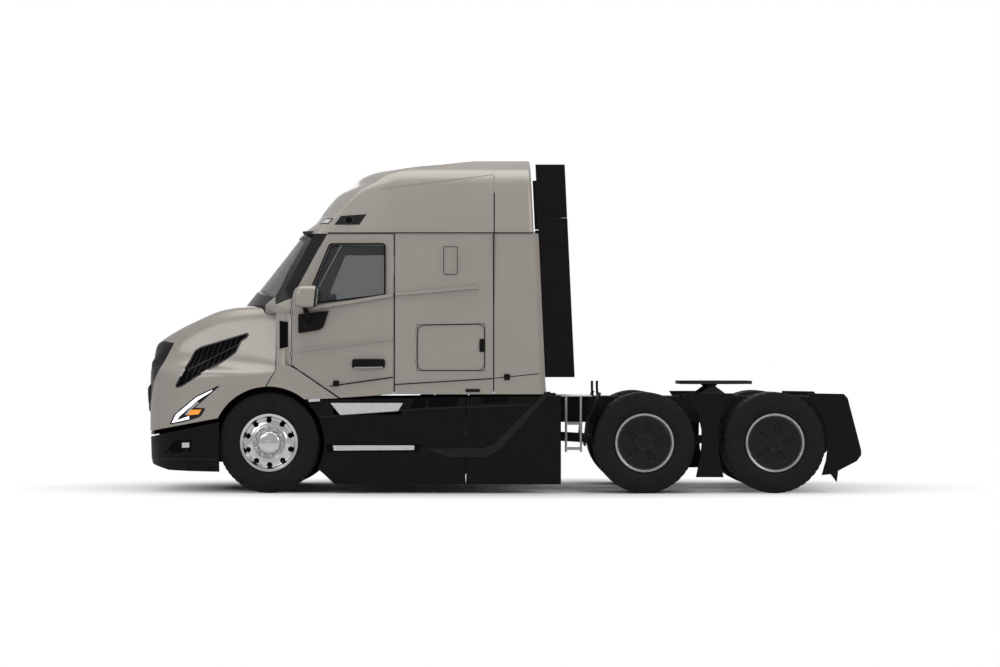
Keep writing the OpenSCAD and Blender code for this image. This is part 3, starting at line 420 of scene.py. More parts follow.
def light_source(name, colour, strength):
    """A lens lit from behind: an even glow over a colour that clouds a little."""
    material = finish(name, colour, 0.15, grain=40, change=0.04, Coat_Weight=1.0)
    shader = material.node_tree.nodes["Principled BSDF"]
    shader.inputs["Emission Color"].default_value = (*colour, 1)
    shader.inputs["Emission Strength"].default_value = strength
    return material


def pane(name, tint):
    """Window glass: mostly see-through, tinted, with a clear reflection."""
    material = finish(name, tint, 0.04, grain=4, change=0.05, bump=0.0, IOR=1.45)
    shader = material.node_tree.nodes["Principled BSDF"]
    shader.inputs["Alpha"].default_value = 0.45
    shader.inputs["Specular IOR Level"].default_value = 0.8
    return material


MATERIALS = {
    "paint": finish("body paint", (0.372, 0.338, 0.306), 0.34, metal=0.25, grain=3, change=0.02,
                    bump=0.012, fine=2600, Coat_Weight=0.7, Coat_Roughness=0.08),
    "gloss": finish("gloss black", (0.006, 0.006, 0.007), 0.2, grain=6, bump=0.01, Specular_IOR_Level=0.4),
    "plastic": finish("moulded plastic", (0.005, 0.005, 0.0048), 0.45, grain=12, change=0.15, bump=0.12,
                      Specular_IOR_Level=0.12),
    # band: a lighter plastic for bars, ribs and bands, also laid in thin strips along creases as painted
    # highlight
    "band": finish("lighter plastic", (0.012, 0.0118, 0.0112), 0.4, grain=12, change=0.12, bump=0.1,
                   Specular_IOR_Level=0.2),
    # shadow: a near-black plastic, also used as painted shade: dark sheets, pans and fillers laid in recesses,
    # openings and hollows
    "shadow": finish("recess plastic", (0.003, 0.003, 0.003), 0.7, grain=12, change=0.15, bump=0.1,
                     Specular_IOR_Level=0.05),
    "rubber": finish("tyre rubber", (0.010, 0.0092, 0.009), 0.6, grain=9, change=0.18, bump=0.15,
                     Specular_IOR_Level=0.15),
    "seal": finish("rubber seal", (0.004, 0.004, 0.004), 0.6, grain=30, bump=0.1, Specular_IOR_Level=0.1),
    "frame": finish("frame paint", (0.007, 0.007, 0.0072), 0.5, grain=8, change=0.2, bump=0.1,
                    Specular_IOR_Level=0.2),
    "cast": finish("cast steel", (0.016, 0.0155, 0.015), 0.62, metal=0.3, grain=14, change=0.25, bump=0.35,
                   fine=320),
    "steel": finish("bright steel", (0.42, 0.42, 0.41), 0.34, metal=1.0, grain=25, change=0.12),
    "alloy": finish("polished alloy", (0.70, 0.70, 0.69), 0.16, metal=1.0, grain=5, change=0.04,
                    bump=0.02),
    "nut": finish("wheel nut steel", (0.55, 0.55, 0.55), 0.2, metal=1.0, grain=60),
    "cover": finish("wheel cover plastic", (0.006, 0.006, 0.0062), 0.36, grain=10, change=0.1,
                    Specular_IOR_Level=0.25),
    "tank": finish("tank aluminium", (0.35, 0.35, 0.35), 0.35, metal=1.0, grain=6, change=0.1),
    "tread": tread_plate(),
    "step": finish("step aluminium", (0.62, 0.62, 0.61), 0.5, metal=0.2, grain=40, change=0.08, bump=0.3),
    "engine": finish("engine iron", (0.05, 0.05, 0.05), 0.65, metal=0.3, grain=10, change=0.3, bump=0.4),
    "lens": finish("clear lens", (0.62, 0.64, 0.66), 0.12, grain=30, change=0.06, Coat_Weight=1.0),
    "light": light_source("light bar", (0.9, 0.9, 1.0), 1.1),
    "amber": light_source("amber lens", (0.9, 0.32, 0.02), 0.35),
    "red": light_source("red lens", (0.35, 0.01, 0.01), 0.1),
    "glass": pane("window glass", (0.05, 0.055, 0.06)),
    "mirror": finish("mirror face", (0.8, 0.8, 0.8), 0.03, metal=1.0, bump=0.0),
    "interior": finish("interior plastic", (0.03, 0.029, 0.028), 0.6, grain=14, bump=0.2),
    "liner": finish("headliner", (0.16, 0.155, 0.15), 0.8, grain=30, bump=0.3),
    "seat": woven("seat cloth", (0.05, 0.047, 0.044)),
    "bedding": woven("mattress cloth", (0.10, 0.095, 0.09)),
    "back": finish("rear wall paint", (0.33, 0.30, 0.27), 0.5, grain=5, change=0.03, bump=0.03),
}


# ---- Camera, light and floor ---------------------------------------------------------------------


def add_camera():
    """Level, square to the left side, far off."""
    data = bpy.data.cameras.new("camera")
    data.lens = 87.2
    data.shift_y = 0.0315
    data.clip_end = 200
    camera = bpy.data.objects.new("camera", data)
    camera.location = (0.0175, 25.7, 1.30)
    camera.rotation_euler = (np.pi / 2, 0, np.pi)
    bpy.context.scene.collection.objects.link(camera)
    bpy.context.scene.camera = camera


def add_lamp(name, place, aim, size, power):
    """A soft rectangular lamp turned towards a point."""
    data = bpy.data.lights.new(name, "AREA")
    data.shape = "RECTANGLE"
    data.size, data.size_y = size
    data.energy = power
    lamp = bpy.data.objects.new(name, data)
    lamp.location = place
    lamp.rotation_euler = (Vector(aim) - Vector(place)).to_track_quat("-Z", "Y").to_euler()
    bpy.context.scene.collection.objects.link(lamp)


def white_for_camera(tree, lit, output, white, kind):
    """Mixes a plain white in wherever a camera, glossy or transmission ray looks."""
    path = tree.nodes.new("ShaderNodeLightPath")
    seen = tree.nodes.new("ShaderNodeMath")
    seen.operation = "MAXIMUM"
    tree.links.new(path.outputs["Is Camera Ray"], seen.inputs[0])
    tree.links.new(path.outputs["Is Transmission Ray"], seen.inputs[1])
    mixed = tree.nodes.new("ShaderNodeMixShader")
    tree.links.new(seen.outputs["Value"], mixed.inputs["Fac"])
    tree.links.new(lit, mixed.inputs[1])
    tree.links.new(white, mixed.inputs[2])
    tree.links.new(mixed.outputs["Shader"], output.inputs[kind])


def add_world():
    """Soft even sky, and white where the camera looks past the object."""
    world = bpy.data.worlds.new("studio")
    bpy.context.scene.world = world
    world.use_nodes = True
    tree = world.node_tree
    sky = tree.nodes["Background"]
    sky.inputs["Color"].default_value = (1, 1, 1, 1)
    sky.inputs["Strength"].default_value = 0.46
    white = tree.nodes.new("ShaderNodeBackground")
    white.inputs["Color"].default_value = (1, 1, 1, 1)
    white.inputs["Strength"].default_value = 1.0
    white_for_camera(tree, sky.outputs["Background"], tree.nodes["World Output"],
                     white.outputs["Background"], "Surface")


def floor_finish():
    """Pale matt floor: white to the camera, except in an oval under and round the object."""
    material = finish("floor", (0.82, 0.82, 0.82), 0.9, grain=2, change=0.02, bump=0.02)
    tree = material.node_tree
    reach = tree.nodes.new("ShaderNodeMapping")
    reach.inputs["Scale"].default_value = (1 / 5.2, 1 / 2.4, 1)
    tree.links.new(tree.nodes["Texture Coordinate"].outputs["Object"], reach.inputs["Vector"])
    far = tree.nodes.new("ShaderNodeVectorMath")
    far.operation = "LENGTH"
    tree.links.new(reach.outputs["Vector"], far.inputs[0])
    fade = tree.nodes.new("ShaderNodeMapRange")
    fade.inputs["From Min"].default_value = 0.55
    fade.inputs["From Max"].default_value = 1.0
    tree.links.new(far.outputs["Value"], fade.inputs["Value"])
    path = tree.nodes.new("ShaderNodeLightPath")
    seen = tree.nodes.new("ShaderNodeMath")
    seen.operation = "MAXIMUM"
    tree.links.new(path.outputs["Is Camera Ray"], seen.inputs[0])
    tree.links.new(path.outputs["Is Transmission Ray"], seen.inputs[1])
    both = tree.nodes.new("ShaderNodeMath")
    both.operation = "MULTIPLY"
    tree.links.new(seen.outputs["Value"], both.inputs[0])
    tree.links.new(fade.outputs["Result"], both.inputs[1])
    white = tree.nodes.new("ShaderNodeEmission")
    mixed = tree.nodes.new("ShaderNodeMixShader")
    tree.links.new(both.outputs["Value"], mixed.inputs["Fac"])
    tree.links.new(tree.nodes["Principled BSDF"].outputs["BSDF"], mixed.inputs[1])
    tree.links.new(white.outputs["Emission"], mixed.inputs[2])
    tree.links.new(mixed.outputs["Shader"], tree.nodes["Material Output"].inputs["Surface"])
    return material


def add_floor():
    """A pale disc that takes the object's shadow."""
    angle = np.linspace(0, 2 * np.pi, 96, endpoint=False)
    radius = np.array([0.01, 30.0])[:, None]
    points = np.stack([radius * np.cos(angle), radius * np.sin(angle), 0 * radius * angle], -1)
    mesh = bpy.data.meshes.new("floor")
    mesh.from_pydata(points.reshape(-1, 3), [], grid_faces(2, 96, around=True) + [list(range(96))])
    floor = bpy.data.objects.new("floor", mesh)
    bpy.context.scene.collection.objects.link(floor)
    mesh.materials.append(floor_finish())


def set_stage():
    """Everything around the object."""
    scene = bpy.context.scene
    scene.view_settings.view_transform = "Standard"
    add_camera()
    add_world()
    add_floor()
    add_lamp("sky panel", (0, 2, 9), (0, 0, 1), (12, 7), 430)
    add_lamp("front panel", (7, 9, 5), (1.5, 0, 1.6), (6, 4), 130)
    add_lamp("rear panel", (-8, 8, 5), (-1.5, 0, 1.2), (6, 4), 150)
    add_lamp("far panel", (0, -10, 5), (0, 0, 1.5), (9, 4), 140)


set_stage()


# ---- Wheels and tyres ----------------------------------------------------------------------------

tyre_w = box("left_front_tyre")[1][1] - box("left_front_tyre")[0][1]
rim_r = 0.281
bead = 0.4 * tyre_w
rear_twin = 0.1675


def tyre_parts(centre, side, lugs):
    """A tyre: a smooth sidewall curve with raised rings, and a tread whose ribs are parted by grooves.

    Radius of the tread = outer radius - groove depth where a groove runs round it
                          - notch depth where a cross slot meets the shoulder.
    """
    knots = np.arange(8)
    wall = np.array([
        (rim_r, -bead), (rim_r + 0.022, -bead), (rim_r + 0.06, -0.47 * tyre_w),
        (rim_r + 0.11, -0.5 * tyre_w), (tyre_r - 0.08, -0.49 * tyre_w), (tyre_r - 0.024, -0.445 * tyre_w),
        (tyre_r - 0.006, -0.41 * tyre_w), (tyre_r - 0.001, -0.37 * tyre_w),
    ])
    t = np.linspace(0, 7, 50)
    inner = curve_through(t, knots, wall)
    rings = [(rim_r + 0.034, 0.004), (rim_r + 0.075, 0.0022), (tyre_r - 0.06, 0.003)]
    for radius, height in rings:
        inner[:, 1] -= height * np.exp(-((inner[:, 0] - radius) / 0.0035) ** 2)
    inner[:, 1] = np.maximum(inner[:, 1], -0.5 * tyre_w)
    across = np.linspace(-0.36, 0.36, 61) * tyre_w
    grooves = np.array([-0.26, -0.09, 0.09, 0.26])[:, None] * tyre_w
    depth = 0.013 * np.max(np.abs(across[None] - grooves) < 0.0055, axis=0)
    tread = np.stack([tyre_r - 0.0005 - depth, across], 1)
    outer = inner[::-1] * [1, -1]
    profile = np.concatenate([inner, tread, outer])
    points, faces = turned_parts(profile, centre, side, steps=240)
    turn = np.linspace(0, 2 * np.pi, 240, endpoint=False)[None, :]
    shoulder = np.abs(profile[:, 1]) > 0.285 * tyre_w
    outside = profile[:, 0] > tyre_r - 0.03
    slot = (np.sin(lugs * turn) > 0.72) * (shoulder & outside)[:, None] * 0.008
    points[..., 0] -= slot * np.cos(turn)
    points[..., 2] -= slot * np.sin(turn)
    return points, faces


def barrel_parts(centre, side, lip=0.295):
    """The rim under the beads: out over one flange, along the well, and over the other."""
    edge = bead + 0.009
    profile = [
        (rim_r - 0.014, -edge + 0.004), (rim_r + 0.004, -edge), (lip - 0.002, -edge), (lip, -edge + 0.004),
        (lip - 0.003, -bead - 0.001), (rim_r, -bead), (rim_r - 0.03, -0.03), (rim_r - 0.03, 0.03),
        (rim_r, bead), (lip - 0.003, bead + 0.001), (lip, edge - 0.004), (lip - 0.002, edge),
        (rim_r + 0.004, edge), (rim_r - 0.014, edge - 0.004), (rim_r - 0.016, 0.0),
        (rim_r - 0.014, -edge + 0.004),
    ]
    return turned_parts(profile, centre, side, steps=128)


def round_cutter(centres, radius, y0, y1, side=1, steps=28):
    """Points and faces of several round prisms along Y."""
    turn = np.linspace(0, 2 * np.pi, steps, endpoint=False)
    parts = []
    for x, z in centres:
        ring = np.stack([x + radius * np.cos(turn), z + radius * np.sin(turn)], 1)
        parts.append(prism_parts(ring, y0, y1, side))
    return parts


def circle_of(centre, radius, count, first=0.0):
    """(x, z) of count places round a hub."""
    turn = first + np.arange(count) * 2 * np.pi / count
    return np.stack([centre[0] + radius * np.cos(turn), centre[2] + radius * np.sin(turn)], 1)


def nuts(name, centre, side, radius, seat, count, body, first=0.0):
    """Wheel nuts: a six-sided skirt under a round cap, in a ring about the hub."""
    parts = []
    y = abs(centre[1])
    for x, z in circle_of(centre, radius, count, first):
        place = (x, side * y, z)
        parts.append(turned_parts(
            [(0.0, seat), (0.0225, seat), (0.0225, seat + 0.006), (0.0165, seat + 0.008), (0.0, seat + 0.008)],
            place, side, steps=20))
        parts.append(turned_parts(
            [(0.0155, seat + 0.006), (0.0155, seat + 0.026), (0.012, seat + 0.036), (0.005, seat + 0.041),
             (0.0, seat + 0.042)], place, side, steps=12))
    return join_meshes(name, parts, body, "nut", angle=35)


def front_wheel(side, word):
    """A forged alloy disc with ten hand holes, its nuts, the hub and its cap."""
    centre = np.array([axle_f, side * front_hub[1], wheel_z])
    body = f"{word}_front_wheel"
    points, faces = tyre_parts(centre, side, 60)
    tyre = new_mesh(f"{word}_front_tyre_tread", points, faces, body, "rubber", angle=38)
    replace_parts(tyre, f"{word}_front_tyre")
    face = curve_through(np.linspace(0, 6, 30), np.arange(7), [
        (rim_r - 0.015, bead - 0.005), (rim_r - 0.021, 0.092), (rim_r - 0.034, 0.073), (0.225, 0.070),
        (0.195, 0.076), (0.172, 0.087), (0.164, 0.087)])
    back = face[::-1] * [1, 1] - [0, 0.02]
    disc_profile = np.concatenate([back, face, back[:1]])
    disc = join_meshes(f"{word}_front_disc", [
        turned_parts(disc_profile, centre, side, steps=128)], body, "alloy", angle=40)
    y = front_hub[1]
    cut_by(disc, round_cutter(circle_of(centre, 0.2265, 10, 0.30), 0.028, y + 0.03, y + 0.12, side))
    smooth_edges(disc, 40)
    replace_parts(disc, f"{word}_front_wheel")
    join_meshes(f"{word}_front_rim", [barrel_parts(centre, side)], body, "alloy", angle=40)
    turned(f"{word}_front_hub_ring", [
        (0.05, 0.05), (0.1655, 0.05), (0.1655, 0.084), (0.162, 0.087), (0.156, 0.083), (0.122, 0.082),
        (0.119, 0.084), (0.118, 0.094), (0.05, 0.094)], centre, side, body, "steel")
    cap = np.concatenate([[(0.116, 0.08)], curve_through(np.linspace(0, 5, 24), np.arange(6), [
        (0.116, 0.098), (0.112, 0.110), (0.095, 0.122), (0.06, 0.128), (0.030, 0.130), (0.026, 0.130)]),
        [(0.024, 0.134), (0.018, 0.1355), (0.0, 0.136)]])
    turned(f"{word}_front_hub_cap", cap, centre, side, body, "alloy")
    nuts(f"{word}_front_nuts", centre, side, 0.141, 0.083, 10, body, 0.15)
    turned(f"{word}_brake_drum", [
        (0.05, -0.105), (0.19, -0.105), (0.205, -0.095), (0.205, 0.02), (0.19, 0.03), (0.10, 0.045)],
        centre, side, body, "cast")


def smooth_edges(piece, angle):
    """Smooth shading broken only at edges sharper than an angle."""
    piece.data.polygons.foreach_set("use_smooth", np.full(len(piece.data.polygons), True))
    piece.data.set_sharp_from_angle(angle=np.radians(angle))


def scooped_cover(name, centre, side, body):
    """A round cover: out = dome(r) - a hollow in each of five slanted ovals + a rolled rim.

    The hollow is a smooth step of the distance from the oval's edge.
    """
    radius = np.concatenate([np.linspace(0.262, 0.245, 6), np.linspace(0.24, 0.0, 58)])[:, None]
    turn = np.linspace(0, 2 * np.pi, 240, endpoint=False)[None, :]
    dome = 0.122 - 0.006 * (radius / 0.262) ** 2 + 0 * turn
    x, z = radius * np.cos(turn), radius * np.sin(turn)
    for k in range(5):
        lean = np.radians(101 + 72 * k)
        along = x * np.cos(lean) + z * np.sin(lean) - 0.148
        off = -x * np.sin(lean) + z * np.cos(lean) + 0.10 * along
        far = np.hypot(along / 0.062, off / (0.020 + 0.10 * (along + 0.05)))
        dome -= 0.017 / (1 + np.exp(np.minimum((far - 1) * 14, 50)))
    ring = np.exp(-((radius - 0.075) / 0.006) ** 2) - 0.6 * np.exp(-((radius - 0.062) / 0.006) ** 2)
    dome += 0.005 * ring + 0.004 * np.exp(-((radius - 0.252) / 0.006) ** 2)
    points = np.stack([centre[0] + x, side * (abs(centre[1]) + rear_twin + dome), centre[2] + z], -1)
    faces = grid_faces(len(radius), 240, around=True)
    if side > 0:
        faces = [face[::-1] for face in faces]
    rim = turned_parts([(0.245, rear_twin + 0.098), (0.264, rear_twin + 0.10), (0.264, rear_twin + 0.113),
                        (0.262, rear_twin + 0.116)], centre, side, steps=240)
    return join_meshes(name, [(points, faces), rim], body, "cover", angle=45)


def driven_wheels(hub, word, side_word, side):
    """Twin tyres on two rims, a cover over the outer one, and the hub between."""
    body = f"{word}_{side_word}_wheel"
    middle = np.array([hub[0], side * abs(hub[1]), wheel_z])
    outer = middle + [0, side * rear_twin, 0]
    inner = middle - [0, side * rear_twin, 0]
    tyres = join_meshes(f"{word}_{side_word}_tread", [tyre_parts(outer, side, 44), tyre_parts(inner, side, 44)],
                        body, "rubber", angle=38)
    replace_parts(tyres, f"{word}_{side_word}_tyres")
    rims = join_meshes(f"{word}_{side_word}_rims", [
        barrel_parts(outer, side, 0.297), barrel_parts(inner, side, 0.297),
        turned_parts([(0.05, -0.02), (0.266, -0.02), (0.266, 0.02), (0.05, 0.02)], middle, side)],
        body, "cast", angle=40)
    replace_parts(rims, f"{word}_{side_word}_wheels")
    turned(f"{word}_{side_word}_bright_rim", [
        (0.268, 0.110), (0.284, 0.118), (0.291, 0.1215), (0.2965, 0.1205), (0.2975, 0.1225),
        (0.2965, 0.1245), (0.291, 0.1248), (0.283, 0.1225), (0.266, 0.114)], outer, side, body, "steel",
        steps=128)
    scooped_cover(f"{word}_{side_word}_cover", middle, side, body)
    turned(f"{word}_{side_word}_drum", [
        (0.06, -0.24), (0.20, -0.24), (0.215, -0.23), (0.215, -0.05), (0.19, -0.03), (0.1, -0.022)],
        middle, side, body, "cast")


for side, word in SIDES:
    front_wheel(side, word)
    driven_wheels(forward_hub, "forward", word, side)
    driven_wheels(rear_hub, "rear", word, side)


# ---- Roof ----------------------------------------------------------------------------------------

# Columns: share of the roof's height, front ahead of the door, corner set back, narrowing a side
ROOF_ROWS = np.array([
    (0.00, -0.013, 0.218, 0.025), (0.06, -0.050, 0.220, 0.028), (0.24, -0.193, 0.245, 0.045),
    (0.40, -0.286, 0.275, 0.062), (0.58, -0.413, 0.310, 0.085), (0.66, -0.515, 0.330, 0.098),
    (0.765, -0.599, 0.360, 0.135), (0.83, -0.683, 0.380, 0.190), (0.88, -0.836, 0.400, 0.270),
    (0.915, -1.052, 0.420, 0.340), (0.985, -1.466, 0.440, 0.560), (1.00, -1.822, 0.450, 0.800),
    (1.00, -2.000, 0.300, 1.160), (1.00, -2.050, 0.200, 1.198),
])
ROOF_KNOTS = np.array([0, 0.6, 2, 3, 4, 4.6, 5.4, 6.1, 7, 8, 9.4, 10.6, 11.6, 12])
front_taper = 0.035
back_lean = 0.112


def cab_back_at(z):
    """X of the cab's rear face, which leans forward as it rises."""
    return cab_back + back_lean * (z - sill_z) / (top_z - sill_z)


def roof_row(t):
    """Height, front, corner set-back and narrowing at a place along the rows."""
    row = curve_through(t, ROOF_KNOTS, ROOF_ROWS)
    z = roof_z + np.clip(row[..., 0], 0, 1) * (top_z - roof_z)
    return z, door_x0 + row[..., 1], row[..., 2], half_w - np.minimum(row[..., 3], half_w)


def roof_skin():
    """Rings stacked by height. Across the front, x = front - set-back * |s|^2.6 and y = width * s.

    Behind that each side runs straight back, and a groove is pressed in where two panels meet.
    """
    t = np.concatenate([np.linspace(0, 11, 78), np.linspace(11.2, 12, 6)])
    z, front, setback, width = [value[:, None] for value in roof_row(t)]
    s = np.sin(np.linspace(0, np.pi / 2, 34))[None, :]
    taper = np.minimum(front_taper, width)
    nose = np.stack([front - setback * s**2.6, (width - taper) * s, z + 0 * s], -1)
    corner = front - setback
    groove = np.array([0.012, 0.005, 0.0042, -0.0042, -0.005, -0.012]) + sleeper_x1
    back = cab_back_at(z)
    forward = corner + (groove[0] + 0.02 - corner) * np.linspace(0.03, 1, 26)[None, :]
    behind = (groove[-1] - 0.02) + (back + 0.04 - groove[-1] + 0.02) * np.linspace(0, 0.97, 8)[None, :]
    x = np.concatenate([forward, np.repeat(groove[None], len(t), 0), behind], 1)
    ahead = np.clip((x - door_x1) / np.maximum(corner - door_x1, 0.05), 0, 1)
    y = np.maximum(width - taper * ahead, 0)
    inset = 0.003 * (np.abs(x - sleeper_x1) < 0.0046)
    y = np.maximum(y - inset, 0)
    flat = np.clip((t[:, None] - 8.5) / 2, 0, 1)
    flank = np.stack([x, y, z - inset * flat], -1)
    turn = np.linspace(0, np.pi / 2, 5)[1:][None, :]
    bend = np.minimum(0.04, width)
    rear_corner = np.stack([
        back + 0.04 - 0.04 * np.sin(turn), width - bend + bend * np.cos(turn), z + 0 * turn], -1)
    rear = np.stack([
        back + 0 * turn, (width - bend) * np.linspace(0.8, 0, 4)[None, :], z + 0 * turn], -1)
    half = np.concatenate([nose, flank, rear_corner, rear], 1)
    corner_at = nose.shape[1]
    for _ in range(10):
        part = half[:, corner_at - 10:corner_at + 8]
        half[:, corner_at - 9:corner_at + 7] = (part[:, :-2] + 2 * part[:, 1:-1] + part[:, 2:]) / 4
    far = half[:, -2:0:-1] * [1, -1, 1]
    rings = np.concatenate([half, far], 1)
    skin = surface("roof_skin", rings, "chassis", "paint", around=True, angle=40)
    keep_below(skin, 2, top_z)
    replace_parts(skin, "roof")
    return skin


# ---- Hood ----------------------------------------------------------------------------------------

# Columns: behind the nose, fender narrowing, shoulder narrowing, shoulder height, top height
HOOD_ROWS = np.array([
    (0.015, 0.640, 0.700, 0.640, 0.700), (0.025, 0.420, 0.560, 1.000, 1.100),
    (0.045, 0.330, 0.500, 1.280, 1.380), (0.078, 0.250, 0.450, 1.430, 1.525),
    (0.130, 0.175, 0.405, 1.470, 1.570), (0.329, 0.060, 0.320, 1.585, 1.690),
    (0.490, 0.020, 0.290, 1.665, 1.767), (0.752, 0.000, 0.265, 1.775, 1.876),
    (0.921, 0.000, 0.250, 1.815, 1.910), (1.158, 0.000, 0.225, 1.845, 1.920),
    (1.400, 0.000, 0.190, 1.860, 1.925),
])
HOOD_KNOTS = np.array([0, 1, 1.8, 2.5, 3.1, 4.5, 5.6, 7.4, 8.6, 10.2, 12])
crease_z = 1.215
cowl_side_x = door_x0 + 0.152
hood_gap = 0.010
hood_low = box("hood")[0][2]


def cowl_x(y):
    """Front of the cowl across the cab, which the hood's rear edge runs round."""
    share = np.minimum(1, np.abs(y) / (half_w - front_taper))
    return door_x0 + 0.56 - 0.40 * share**2.6


def hood_floor(x):
    """Lower edge of the hood: it rises from the nose, then follows the wheel arch."""
    edge = hood_low + 0.142 * np.clip((nose_x - x) / 0.760, 0, 1)
    arch = wheel_z + np.sqrt(np.maximum(arch_r**2 - (x - axle_f) ** 2, 0))
    inside = np.abs(x - axle_f) < arch_r
    return np.where(inside, np.maximum(edge, arch), edge)


def hood_row_at(x):
    """Fender and shoulder half widths and heights at a distance behind the nose."""
    t = np.linspace(0, 12, 400)
    table = curve_through(t, HOOD_KNOTS, HOOD_ROWS)
    behind = np.clip(nose_x - x, HOOD_ROWS[0, 0], HOOD_ROWS[-1, 0])
    return [np.interp(behind, table[:, 0], table[:, k]) for k in (1, 2, 3, 4)]


def hood_section(x):
    """Eight places up one half section: fender foot, crease, side, shoulder, crown."""
    narrow_f, narrow_s, zs, zt = hood_row_at(x)
    wf = half_w - narrow_f
    ws = np.minimum(half_w - narrow_s, wf - 0.005)
    zc = np.minimum(crease_z, zs - 0.03)
    wb = np.clip(ws + 0.62 * (half_w - narrow_s + 0.045 - ws) + 0.12, ws + 0.003, wf - 0.003)
    foot = np.minimum(hood_floor(x), zc - 0.03)
    y = [wf, wf, wf - 0.002, np.minimum(wf - 0.003, wb), ws, ws - 0.055, ws * 0.62, 0 * ws]
    z = [foot, 0.35 * foot + 0.65 * (zc - 0.02), zc, np.minimum(zs - 0.02, zc + 0.09), zs,
         zs + (zt - zs) * 0.55, zt - (zt - zs) * 0.12, zt]
    return np.stack([np.stack(y, -1), np.stack(z, -1)], -1)


SECTION_KNOTS = np.array([0, 1, 1.6, 2.2, 4.2, 4.7, 6, 8])


def hood_point(x, u):
    """A point of the skin: x, and (y, z) on the Hermite curve through that section's eight places."""
    section = hood_section(x)
    eye = np.eye(8)
    weights = curve_through(np.ravel(u), SECTION_KNOTS, eye).reshape(*np.shape(u), 8)
    flat = np.einsum("...k,...kc->...c", weights, section)
    return np.stack([x, np.maximum(flat[..., 0], 0), flat[..., 1]], -1)


def hood_rear(u):
    """X of the rear edge up the section: slanting down the fender, then round the cowl."""
    x = np.full(np.shape(u), cowl_side_x + hood_gap)
    for _ in range(6):
        point = hood_point(x, u)
        y, z = point[..., 1], point[..., 2]
        slant = cowl_side_x + hood_gap + 0.098 * np.clip((1.25 - z) / 0.167, 0, 1)
        crown = np.clip((np.asarray(u) - 4.2) / 0.5, 0, 1)
        round_cowl = cowl_side_x + crown * np.maximum(cowl_x(y) - cowl_side_x, 0) + hood_gap
        x = np.where(z < 1.25, slant, round_cowl)
    return x


def hood_grid():
    """Rows run from the nose to the rear edge, close together where the nose turns."""
    share = np.concatenate([0.03 * np.linspace(0, 1, 24)[:-1] ** 1.4, np.linspace(0.03, 1, 130)])
    u = np.concatenate([np.linspace(0, 1.6, 20)[:-1], np.linspace(1.6, 2.2, 8)[:-1], np.linspace(2.2, 8, 56)])
    share, u = np.meshgrid(share, u, indexing="ij")
    start = nose_x - HOOD_ROWS[0, 0]
    x = start + share * (hood_rear(u) - start)
    half = hood_point(x, u)
    shrink = np.array([0.0, 0.25, 0.5, 0.75, 0.95])[:, None, None]
    face = half[:1] * np.concatenate([1 + 0 * shrink, shrink, 1 + 0 * shrink], -1)
    half = np.concatenate([face, half], 0)
    return np.concatenate([half, half[:, -2::-1] * [1, -1, 1]], 1)


# Outlines on the hood's side, as (behind the nose, height)
VENT = [(0.343, 1.082), (0.522, 1.443), (0.575, 1.475), (1.052, 1.617), (1.035, 1.585), (0.980, 1.552),
        (0.925, 1.437), (0.775, 1.328), (0.391, 1.095)]
LAMP = [(0.275, 0.701), (0.327, 0.798), (0.546, 0.979), (0.778, 1.088), (0.675, 1.000), (0.520, 0.862),
        (0.636, 0.858), (0.586, 0.782), (0.470, 0.742)]
NOSE_BAND = [(-0.1, 0.70), (0.030, 0.70), (0.045, 0.90), (0.085, 1.12), (0.285, 1.525), (0.180, 1.545),
             (-0.1, 1.56)]
GRILLE_HOLE = [(-0.36, 0.70), (0.36, 0.70), (0.575, 1.345), (0.535, 1.420), (-0.535, 1.420), (-0.575, 1.345)]


def beside_nose(outline):
    """Places of an outline given as distances behind the nose."""
    return [(nose_x - back, z) for back, z in outline]


def solid_hood(name, finish):
    """The closed skin of the hood, ready to be cut."""
    skin = surface(name, hood_grid(), "hood", finish, flip=True, thick=0.026, angle=50)
    bake_modifiers(skin)
    keep_below(skin, 0, nose_x)
    return skin


def hood():
    """The skin with its vents, lamps and grille cut out, and the bezel left in the nose."""
    skin = solid_hood("hood_skin", "paint")
    bezel = solid_hood("grille_bezel", "gloss")
    band = beside_nose(NOSE_BAND)
    cut(skin, band, -1.3, 1.3)
    cut(bezel, band, -1.3, 1.3, operation="INTERSECT")
    cut(bezel, rounded(GRILLE_HOLE, 0.04), nose_x - 0.4, nose_x + 0.2, plane="yz")
    holes = []
    for side in (1, -1):
        holes.append(prism_parts(rounded(beside_nose(VENT), 0.012), 0.62, 1.3, side))
        holes.append(prism_parts(rounded(beside_nose(LAMP), 0.014), 0.62, 1.3, side))
    cut_by(skin, holes)
    smooth_edges(skin, 40)
    smooth_edges(bezel, 40)
    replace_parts(skin, "hood")
    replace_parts(bezel, "grilles")
    return skin


roof_skin()
hood()


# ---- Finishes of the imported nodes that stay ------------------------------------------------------

NODE_FINISH = {
    "frame_rails": "frame", "crossmembers": "frame", "front_axle": "cast", "front_springs": "cast",
    "drive_axles": "cast", "rear_suspension": "cast", "engine": "engine", "radiator": "shadow",
    "fuel_tanks": "tank", "step_boxes": "shadow", "fifth_wheel_bracket": "cast", "cab_floor": "interior",
    "hood_hinges": "frame", "left_knuckle": "cast", "right_knuckle": "cast", "tie_rod": "cast",
    "left_door_glass": "glass", "right_door_glass": "glass",
}
for node, kind in NODE_FINISH.items():
    frame["nodes"][node].data.materials.clear()
    frame["nodes"][node].data.materials.append(MATERIALS[kind])

